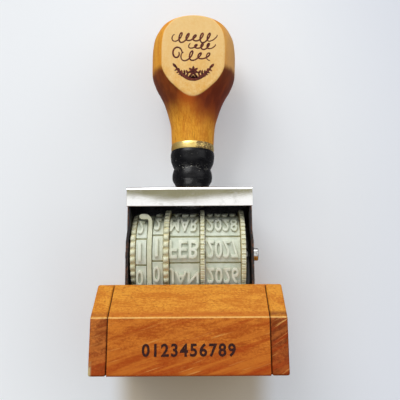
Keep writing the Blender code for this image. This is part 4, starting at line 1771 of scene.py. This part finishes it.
@dataclass
class TypeBelt:
    """One rubber belt with its raised pads and mirrored characters."""

    name: str
    words: Sequence[str]
    line: BeltLine
    lag: float
    text_width: float
    text_height: float
    text_shift: float
    pads: int = 15
    first_pad: int = 4
    groove: float = 0.5 * MM
    flank: float = 0.1 * MM
    skin: float = 0.3 * MM
    pad: float = 0.75 * MM
    back: float = 0.5 * MM
    back_lift: float = 0.6
    lift: float = 0.7 * MM
    step: float = 0.5 * MM
    edge: float = 0.09 * MM
    type_size: float = 5.0
    type_spacing: float = 1.06
    stroke: float = 0.1
    inset: float = 0.12 * MM

    def __post_init__(self) -> None:
        """Read the belt's faces from the frame."""
        low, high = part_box(self.name + "_belt")
        self.left, self.right = low.x, high.x
        self.pitch = self.line.length / self.pads

    def stations(self) -> list[tuple[float, float, float]]:
        """Distance, outer offset and lift of each cross-section round the belt.

        Returns:
            The cross-sections, in order round the belt.
        """
        made = []
        for index in range(self.pads):
            start = (index - 0.5) * self.pitch + self.groove / 2 - self.lag
            end = start + self.pitch - self.groove
            count = math.ceil((end - start) / self.step)
            for step in range(count + 1):
                made.append((start + (end - start) * step / count, self.pad, 1.0))
            made.append((end + self.flank, self.skin, 0.0))
            made.append((end + self.groove - self.flank, self.skin, 0.0))
        return made

    def build_loop(self) -> bpy.types.Object:
        """The belt with its pads.

        Returns:
            The new object.
        """
        points = []
        lifts = []
        for distance, offset, lift in self.stations():
            outer = self.line.point(distance, offset)
            inner = self.line.point(distance, -self.back)
            points += [(self.left, *outer), (self.right, *outer)]
            points += [(self.right, *inner), (self.left, *inner)]
            lifts += [lift, lift, self.back_lift, self.back_lift]
        faces = []
        total = len(points)
        for start in range(0, total, 4):
            after = (start + 4) % total
            for corner in range(4):
                other = (corner + 1) % 4
                faces.append((start + corner, start + other, after + other, after + corner))
        item = plain_mesh(self.name + "_band", points, faces)
        store_lift(item.data, lifts)
        weld(item)
        return soften(item, self.edge, 2)

    def build_word(self, word: str, pad: int) -> bpy.types.Object:
        """One word in raised type, bent along the belt at a pad.

        Args:
            word: What it says.
            pad: Number of its pad.

        Returns:
            The new object.
        """
        item = lettering("type_" + word, word, self.type_size, self.type_spacing, self.stroke)
        self._fit(item.data, word)
        self._taper(item.data)
        self._bend(item.data, pad)
        return item

    def _fit(self, mesh: bpy.types.Mesh, word: str) -> None:
        """Scale the type to its real size, with its foot at zero.

        Args:
            mesh: The type.
            word: What it says.
        """
        low, high = span(mesh)
        size = high - low
        tall = self.text_height / size.y
        wide = self.text_width / size.x
        if word == "1":
            wide = tall
        elif len(word) == 1:
            wide = min(tall, wide)
        deep = (self.lift + self.inset) / size.z
        middle = (low + high) / 2
        scale = Matrix.Diagonal((wide, tall, deep, 1))
        mesh.transform(scale @ Matrix.Translation((-middle.x, -middle.y, -low.z)))

    def _taper(self, mesh: bpy.types.Mesh) -> None:
        """Round the top edges of the type and cut it across, so that it can bend.

        Args:
            mesh: The type.
        """
        with editing(mesh) as shape:
            bmesh.ops.remove_doubles(shape, verts=shape.verts, dist=WELD)
            bmesh.ops.recalc_face_normals(shape, faces=shape.faces)
            merge_flat(shape, 1)
            top = max(vertex.co.z for vertex in shape.verts)
            rim = [
                edge for edge in shape.edges
                if all(vertex.co.z > top - WELD for vertex in edge.verts) and edge.calc_face_angle(0) > 1
            ]
            bmesh.ops.bevel(
                shape, geom=rim, offset=self.edge, segments=2, affect="EDGES", profile=0.5,
                clamp_overlap=True,
            )
            cuts = math.ceil(self.text_height / self.step)
            for index in range(1, cuts):
                height = -self.text_height / 2 + self.text_height * index / cuts
                bmesh.ops.bisect_plane(
                    shape, geom=[*shape.verts, *shape.edges, *shape.faces], dist=WELD / 10,
                    plane_co=(0, height, 0), plane_no=(0, 1, 0),
                )
            bmesh.ops.triangulate(shape, faces=[face for face in shape.faces if len(face.verts) > 4])

    def _bend(self, mesh: bpy.types.Mesh, pad: int) -> None:
        """Lay the type on its pad, upside down as type on such a belt is.

        Args:
            mesh: The type.
            pad: Number of its pad.
        """
        centre = (self.left + self.right) / 2 + self.text_shift
        middle = pad * self.pitch - self.lag
        lifts = []
        for vertex in mesh.vertices:
            across, up, out = vertex.co
            lifts.append(max(out - self.inset, 0) / self.lift)
            spot = self.line.point(middle - up, self.pad - self.inset + out)
            vertex.co = (centre + across, *spot)
        mesh.flip_normals()
        store_lift(mesh, lifts)

    def build(self, band: bpy.types.Material, type_finish: bpy.types.Material) -> None:
        """Build and dress the belt.

        Args:
            band: Finish of the belt.
            type_finish: Finish of its type.
        """
        dress(self.build_loop(), band, replaces=[self.name + "_belt"])
        items = []
        for index, word in enumerate(self.words):
            if word:
                items.append(self.build_word(word, (index + self.first_pad) % self.pads))
        made = joined(self.name + "_characters", items)
        dress(smooth(made), type_finish)


@dataclass
class ThumbWheel:
    """Toothed thumb disc on the drum that carries its belt."""

    name: str
    body: Body
    teeth: int
    recipe: GeometryRecipe
    tooth_depth: float = 0.36 * MM
    sunk: float = 0.15 * MM
    land_share: float = 0.6
    root_share: float = 0.86
    drum: float = 9.05 * MM
    bore: float = 1.35 * MM
    edge: float = 0.1 * MM
    belt_gap: float = 0.2 * MM
    least_disc: float = 0.5 * MM
    soil_depth: float = 0.15
    segments: int = 120

    def build(self) -> None:
        """Build and dress the wheel."""
        low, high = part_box(self.name + "_wheel")
        axle = (low.z + high.z) / 2
        radius = (high.z - low.z) / 2
        disc_left, disc_right, drum_end = self._faces(low.x, high.x)
        root = radius - self.tooth_depth
        ends = sorted((disc_left, disc_right))
        near = ends[0] if drum_end > ends[1] else ends[1]
        far = ends[1] if near == ends[0] else ends[0]
        side = 1 if far > near else -1
        profile = [
            (self.bore, near), (root - self.edge, near), (root, near + side * self.edge),
            (root, far - side * self.edge), (root - self.edge, far), (self.drum, far),
            (self.drum, drum_end), (self.bore, drum_end),
        ]
        disc = turned(self.name + "_disc", profile, self.segments, on_axle(axle), bored=True)
        pitch = math.tau * radius / self.teeth
        draft = bpy.data.materials.new("tooth_draft")
        middle = (ends[0] + ends[1]) / 2
        teeth = self.recipe.make(self.name + "_teeth", {
            "Count": self.teeth, "Radius": root + (self.tooth_depth - self.sunk) / 2,
            "Reach": self.tooth_depth + self.sunk, "Root Width": pitch * self.root_share,
            "Tip Width": pitch * self.land_share, "Length": ends[1] - ends[0] - 0.02 * MM,
            "Material": draft,
        })
        teeth.data.transform(on_axle(axle, middle))
        soften(teeth, self.edge * 0.8, 1)
        wheel = smooth(joined(self.name + "_thumb_wheel", [disc, teeth]))
        finish = WheelPlastic(
            self.name + "_wheel_plastic", axle_height=axle / MM, soil_radius=radius / MM - self.soil_depth
        )
        dress(wheel, finish.material(), self.body, [self.name + "_wheel"])

    def _faces(self, low: float, high: float) -> tuple[float, float, float]:
        """Faces of the disc and the end of the drum, from the belt that lies beside it.

        Args:
            low: Left end of the wheel.
            high: Right end of the wheel.

        Returns:
            The disc's left and right face, and the drum's end.
        """
        belt_low, belt_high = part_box(self.name + "_belt")
        if belt_low.x - low > self.least_disc:
            return low, belt_low.x - self.belt_gap, high
        return belt_high.x + self.belt_gap, high, low


@dataclass
class DateRow:
    """Thumb wheels and type belts on the axle, with the separator between the day belts."""

    pad: float = 0.75 * MM
    tens_lag: float = -0.65 * MM
    units_lag: float = -1.65 * MM
    wide_lag: float = -1.2 * MM
    separator_round: float = 0.28 * MM
    months: tuple[str, ...] = (
        "JAN", "FEB", "MAR", "APR", "MAY", "JUN", "JUL", "AUG", "SEP", "OCT", "NOV", "DEC",
    )
    first_year: int = 2026

    def build(self) -> None:
        """Build and dress the row."""
        low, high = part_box("month_belt")
        wheel_low, wheel_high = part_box("month_wheel")
        axle = (wheel_low.z + wheel_high.z) / 2
        line = BeltLine(axle, low.z + self.pad, high.z - axle - self.pad)
        band = TypeRubber("belt_rubber").material()
        raised = TypeRubber(
            "type_rubber", top=tone(232, 236, 218), top_deep=tone(216, 222, 200),
            root=tone(140, 128, 84), root_share=0.8, root_low=0.1, root_high=0.75,
        ).material()
        years = [str(self.first_year + index) for index in range(12)]
        belts = (
            ("tens", [str(n) for n in range(4)], self.tens_lag, 1.75, 4.2, -0.3),
            ("units", [str(n) for n in range(10)], self.units_lag, 1.75, 4.2, -0.25),
            ("month", self.months, self.wide_lag, 7.4, 4.1, -0.15),
            ("year", years, self.wide_lag, 7.9, 4.1, -0.1),
        )
        for name, words, lag, width, height, shift in belts:
            belt = TypeBelt(name, words, line, lag, width * MM, height * MM, shift * MM)
            belt.build(band, raised)
        teeth = radial_teeth()
        wheels = (
            ("tens", Body.TENS, 36), ("units", Body.UNITS, 40),
            ("month", Body.MONTH, 60), ("year", Body.YEAR, 60),
        )
        for name, body, count in wheels:
            ThumbWheel(name, body, count, teeth).build()
        item = soften(from_frame("belt_separator", "day_separator"), self.separator_round, 3)
        plastic = WheelPlastic("separator_plastic", cream=tone(222, 224, 198), shade=tone(204, 206, 172))
        dress(item, plastic.material(), replaces=["belt_separator"])


@dataclass
class Block:
    """Wooden block of a milled body and two glued cheeks, with figures on its front."""

    slope_height: float = 7.5 * MM
    shoulder_inset: float = 0.7 * MM
    top_half_depth: float = 11.1 * MM
    window_half_width: float = 16.475 * MM
    window_half_depth: float = 10.6 * MM
    body_round: float = 0.192 * MM
    cheek_round: float = 0.512 * MM
    seam_inset: float = 0.3 * MM
    figures: str = "0123456789"
    figures_width: float = 21.4 * MM
    figures_size: float = 3.0 * MM
    figures_height: float = 7.3 * MM
    figures_depth: float = 0.12 * MM
    type_size: float = 4.0
    type_spacing: float = 1.2
    stroke: float = 0.11

    def __post_init__(self) -> None:
        """Read the block's place from the frame."""
        self.low, self.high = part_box("block_body")

    def outline(self, inset: float = 0.0) -> list[Point]:
        """Side outline of the block.

        Args:
            inset: How far it lies inside the block's faces.

        Returns:
            Points of depth and height.
        """
        shoulder = self.high.z - self.slope_height
        half = [
            (self.high.y - inset, self.low.z + inset),
            (self.high.y - self.shoulder_inset - inset, shoulder),
            (self.top_half_depth - inset / 2, self.high.z - inset),
        ]
        return half + [(-across, up) for across, up in reversed(half)]

    def build_body(self) -> bpy.types.Object:
        """The milled body with its window.

        Returns:
            The new object.
        """
        item = extruded("block_wood", [self.outline()], self.low.x, self.high.x, Plane.SIDE)
        margin = 1 * MM
        half_width, half_depth = self.window_half_width, self.window_half_depth
        window = [
            (half_width, half_depth), (-half_width, half_depth),
            (-half_width, -half_depth), (half_width, -half_depth),
        ]
        cutter = extruded("window", [window], self.low.z - margin, self.high.z + margin, Plane.PLAN)
        cut_out(item, cutter)
        return soften(item, self.body_round)

    def build_figures(self) -> bpy.types.Object:
        """Plain figures on the front face.

        Returns:
            The new object.
        """
        item = weld(lettering(
            "block_figures", self.figures, self.type_size, self.type_spacing, self.stroke
        ))
        low, high = span(item.data)
        size = high - low
        scale = Matrix.Diagonal((
            self.figures_width / size.x, self.figures_size / size.y, self.figures_depth / size.z, 1,
        ))
        item.data.transform(scale @ Matrix.Translation(-(low + high) / 2))
        shoulder = self.high.z - self.slope_height
        lean = math.atan2(self.shoulder_inset, shoulder - self.low.z)
        share = (self.figures_height - self.low.z) / (shoulder - self.low.z)
        place = Matrix.Translation((0, -self.high.y + self.shoulder_inset * share, self.figures_height))
        item.data.transform(place @ Matrix.Rotation(math.pi / 2 - lean, 4, "X"))
        return item

    def build(self) -> None:
        """Build and dress the block."""
        body = BlockWood("block_body_wood").material()
        dress(self.build_body(), body, replaces=["block_body"])
        cheeks = (
            ("left", BlockWood(
                "left_cheek_wood", chipped=True, blotch=0.6, shift=7.0,
                face_light=tone(206, 122, 52), face_dark=tone(150, 76, 30),
                figure=(4.0, 7.0, 3.0), fibre=(0.5, 4.0, 0.5),
            )),
            ("right", BlockWood(
                "right_cheek_wood", blotch=0.9, shift=13.0, saw_share=0.75, saw_turn=30.0,
                face_light=tone(182, 100, 42), face_dark=tone(114, 52, 22),
                figure=(4.0, 7.0, 3.0), fibre=(0.5, 4.0, 0.5),
            )),
        )
        glue = BlockWood(
            "glue_line", slope_light=tone(70, 30, 14), slope_dark=tone(40, 16, 8),
            face_light=tone(64, 28, 14), face_dark=tone(34, 14, 8), arris=tone(90, 44, 20),
            scratch=tone(90, 44, 20), foot=tone(36, 14, 8),
        ).material()
        for side, finish in cheeks:
            low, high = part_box(side + "_cheek")
            item = extruded(side + "_cheek_wood", [self.outline()], low.x, high.x, Plane.SIDE)
            soften(item, self.cheek_round, 4)
            dress(item, finish.material(), replaces=[side + "_cheek"])
            ends = (self.high.x, low.x) if side == "right" else (high.x, self.low.x)
            seam = extruded(side + "_glue_line", [self.outline(self.seam_inset)], *ends, Plane.SIDE)
            dress(seam, glue)
        brown = BurntLine("figures_brown", dark=tone(40, 12, 8), light=tone(74, 28, 16))
        dress(self.build_figures(), brown.material())


@dataclass
class PrintingDie:
    """Rubber die and its foam cushion under the block."""

    def build(self) -> None:
        """Dress both."""
        die = SoftSheet("die_red_rubber", tone(150, 70, 52), tone(86, 34, 30))
        foam = SoftSheet("cushion_foam", tone(74, 74, 74), tone(40, 40, 42), 0.5, 0.12)
        refinish("rubber_die", die.material())
        refinish("die_cushion", foam.material())


@dataclass
class Studio:
    """White sheet close behind the stamp, soft lamps, a reflection card and the camera."""

    pale: Colour = tone(236, 239, 242)
    cool: Colour = tone(216, 220, 229)
    sheet_colour: Colour = (0.94, 0.97, 1.0)
    bounce: Colour = tone(196, 176, 138)
    sheet_half: float = 0.6
    sheet_foot: tuple[float, float] = (20.4 * MM, 1.6 * MM)
    sheet_lean: float = 5.2
    fade_start: float = 30.0
    fade_end: float = 96.0
    world_light: float = 0.44
    mirror_light: float = 1.1
    mirror_front: tuple[float, float, float] = (-0.1, -0.94, 0.32)
    mirror_dark: Colour = (0.2, 0.2, 0.21)
    camera_spot: tuple[float, float, float] = (3.6 * MM, -137.5 * MM, 22.2 * MM)
    camera_pitch: float = -9.5
    camera_roll: float = 0.35
    camera_shift: float = -0.0092
    focal_length: float = 45.0
    sensor: float = 36.0

    def build_sheet(self) -> None:
        """Sheet that the camera sees from its front only; it takes shadows and lights nothing."""
        half = self.sheet_half
        points = [(-half, 0, -half), (half, 0, -half), (half, 0, half), (-half, 0, half)]
        sheet = plain_mesh("sheet", points, [(0, 1, 2, 3)])
        depth, height = self.sheet_foot
        place = Matrix.Translation((0, depth, height))
        sheet.data.transform(place @ Matrix.Rotation(math.radians(self.sheet_lean), 4, "X"))
        mix = Recipe("sheet_paper")
        across, up = mix.axis("X"), mix.axis("Z")
        paper = mix.grain((1.2, 1.2, 1.2), 2.0, 0.5)
        # painted shadow: the sheet under the block is painted dark warm brown, with the bounced tint of the
        # wood
        under = abs(across).ramp(26.0, 17.0) * up.ramp(2.0, -4.0)
        colour = mix.mix(paper.ramp(0.3, 0.7) * 0.03, self.sheet_colour, self.pale)
        colour = mix.mix(under * 0.9, colour, self.bounce)
        mix.finish(Base_Color=colour, Roughness=0.9, Specular_IOR_Level=0.05)
        # painted fall-off of light: the glowing backdrop is painted paler to the upper left and cooler and
        # darker to the right
        shade = mix.mix((across + up * 0.15).ramp(-50.0, 60.0), self.pale, self.cool)
        shine = mix.node("ShaderNodeEmission", None, {"Color": shade, "Strength": 1.0})
        middle = mix.vector("SUBTRACT", mix.place, {1: (0.0, 0.0, 45.0)})
        middle = mix.vector("MULTIPLY", middle, {1: (1.0, 1.0, 0.6)})
        away = mix.node("ShaderNodeVectorMath", {"operation": "LENGTH"}, {0: middle}, output="Value")
        share = away.ramp(self.fade_start, self.fade_end).at_least(0.16 - under * 0.16)
        blend = mix.node(
            "ShaderNodeMixShader", None,
            {0: share, 1: Wire(mix, mix.shader.outputs[0]), 2: shine},
        )
        back = mix.node("ShaderNodeNewGeometry", output="Backfacing")
        clear = mix.node("ShaderNodeBsdfTransparent")
        blend = mix.node("ShaderNodeMixShader", None, {0: back, 1: blend, 2: clear})
        mix.tree.links.new(blend.socket, mix.tree.nodes["Material Output"].inputs["Surface"])
        sheet.data.materials.append(mix.material)
        sheet.visible_diffuse = False
        sheet.visible_glossy = False
        sheet.visible_transmission = False
        sheet.visible_shadow = False

    def build_world(self) -> None:
        """Soft even light from all round, with mirrors seeing a bright front and dark sides."""
        sky = SkyRecipe("studio")
        sky.feed(sky.shader.inputs["Color"], (1.0, 1.0, 1.0))
        sky.feed(sky.shader.inputs["Strength"], self.world_light)
        toward = sky.node("ShaderNodeTexCoord", output="Generated")
        front = sky.node(
            "ShaderNodeVectorMath", {"operation": "DOT_PRODUCT"},
            {0: toward, 1: self.mirror_front}, output="Value",
        )
        mirrored = sky.mix(front.ramp(0.5, 0.86), self.mirror_dark, (1.0, 1.0, 0.99))
        last = Wire(sky, sky.shader.outputs[0])
        for ray, colour, strength in (
            ("Is Glossy Ray", mirrored, self.mirror_light),
            ("Is Transmission Ray", self.pale, 1.0),
            ("Is Camera Ray", self.pale, 1.0),
        ):
            shown = sky.node("ShaderNodeBackground", None, {"Color": colour, "Strength": strength})
            share = sky.node("ShaderNodeLightPath", output=ray)
            last = sky.node("ShaderNodeMixShader", None, {0: share, 1: last, 2: shown})
        sky.feed(sky.tree.nodes["World Output"].inputs["Surface"], last)

    def lamp(
        self, name: str, spot: tuple[float, float, float], size: float, power: float, aim: float = 40.0
    ) -> None:
        """Square soft lamp aimed at the stamp.

        Args:
            name: Name of the lamp.
            spot: Its place in millimetres.
            size: Length of its side in millimetres.
            power: Its power in watts.
            aim: Height in millimetres of the point that it is aimed at.
        """
        light = bpy.data.lights.new(name, "AREA")
        light.size = size * MM
        light.energy = power
        item = add_object(name, light)
        place = Vector(spot) * MM
        item.location = place
        item.rotation_mode = "QUATERNION"
        item.rotation_quaternion = (Vector((0, 0, aim * MM)) - place).to_track_quat("-Z", "Y")

    def build_card(self) -> None:
        """Olive card behind the camera, seen in reflections only."""
        outline = [
            (-160, 160), (-160, 126), (-67, 119), (-45, 114), (-24, 110.5), (0, 113),
            (30, 117.5), (48, 120), (150, 128), (150, 160),
        ]
        points = [(across * MM, -400 * MM, up * MM) for across, up in outline]
        card = plain_mesh("olive_card", points, [tuple(range(len(points)))])
        mix = Recipe("card_olive")
        grit = mix.grain((3.0, 3.0, 3.0), 2.0, 0.6)
        colour = mix.mix(grit.ramp(0.35, 0.65), tone(196, 190, 156), tone(152, 146, 110))
        mix.finish(Base_Color=colour, Roughness=0.9)
        card.data.materials.append(mix.material)
        card.visible_camera = False
        card.visible_diffuse = False
        card.visible_shadow = False

    def build_camera(self) -> None:
        """Camera at the photograph's viewing angle."""
        data = bpy.data.cameras.new("camera")
        data.lens = self.focal_length
        data.sensor_width = self.sensor
        data.shift_x = self.camera_shift
        data.clip_start = 0.01
        data.clip_end = 20
        camera = add_object("camera", data)
        tilt = Matrix.Rotation(math.radians(90 - self.camera_pitch), 4, "X")
        roll = Matrix.Rotation(math.radians(-self.camera_roll), 4, "Z")
        camera.matrix_world = Matrix.Translation(self.camera_spot) @ tilt @ roll
        bpy.context.scene.camera = camera

    def build(self) -> None:
        """Build the whole studio."""
        self.build_sheet()
        self.build_world()
        self.lamp("window", (-190, -330, 400), 300, 1.5)
        self.lamp("sky", (40, -90, 520), 260, 0.72)
        self.lamp("fill", (330, -260, 160), 260, 0.25)
        self.build_card()
        self.build_camera()
        bpy.context.scene.view_settings.view_transform = "Standard"


def main() -> None:
    """Build every sub-assembly, then the studio."""
    logging.basicConfig(level=logging.INFO, format="%(name)s: %(message)s")
    for part in (PrintingDie(), Block(), ChromeFrame(), Axle(), DateRow(), NeckTrim(), Handle(), Studio()):
        LOG.info("building %s", type(part).__name__)
        part.build()


if __name__ == "__main__":
    main()
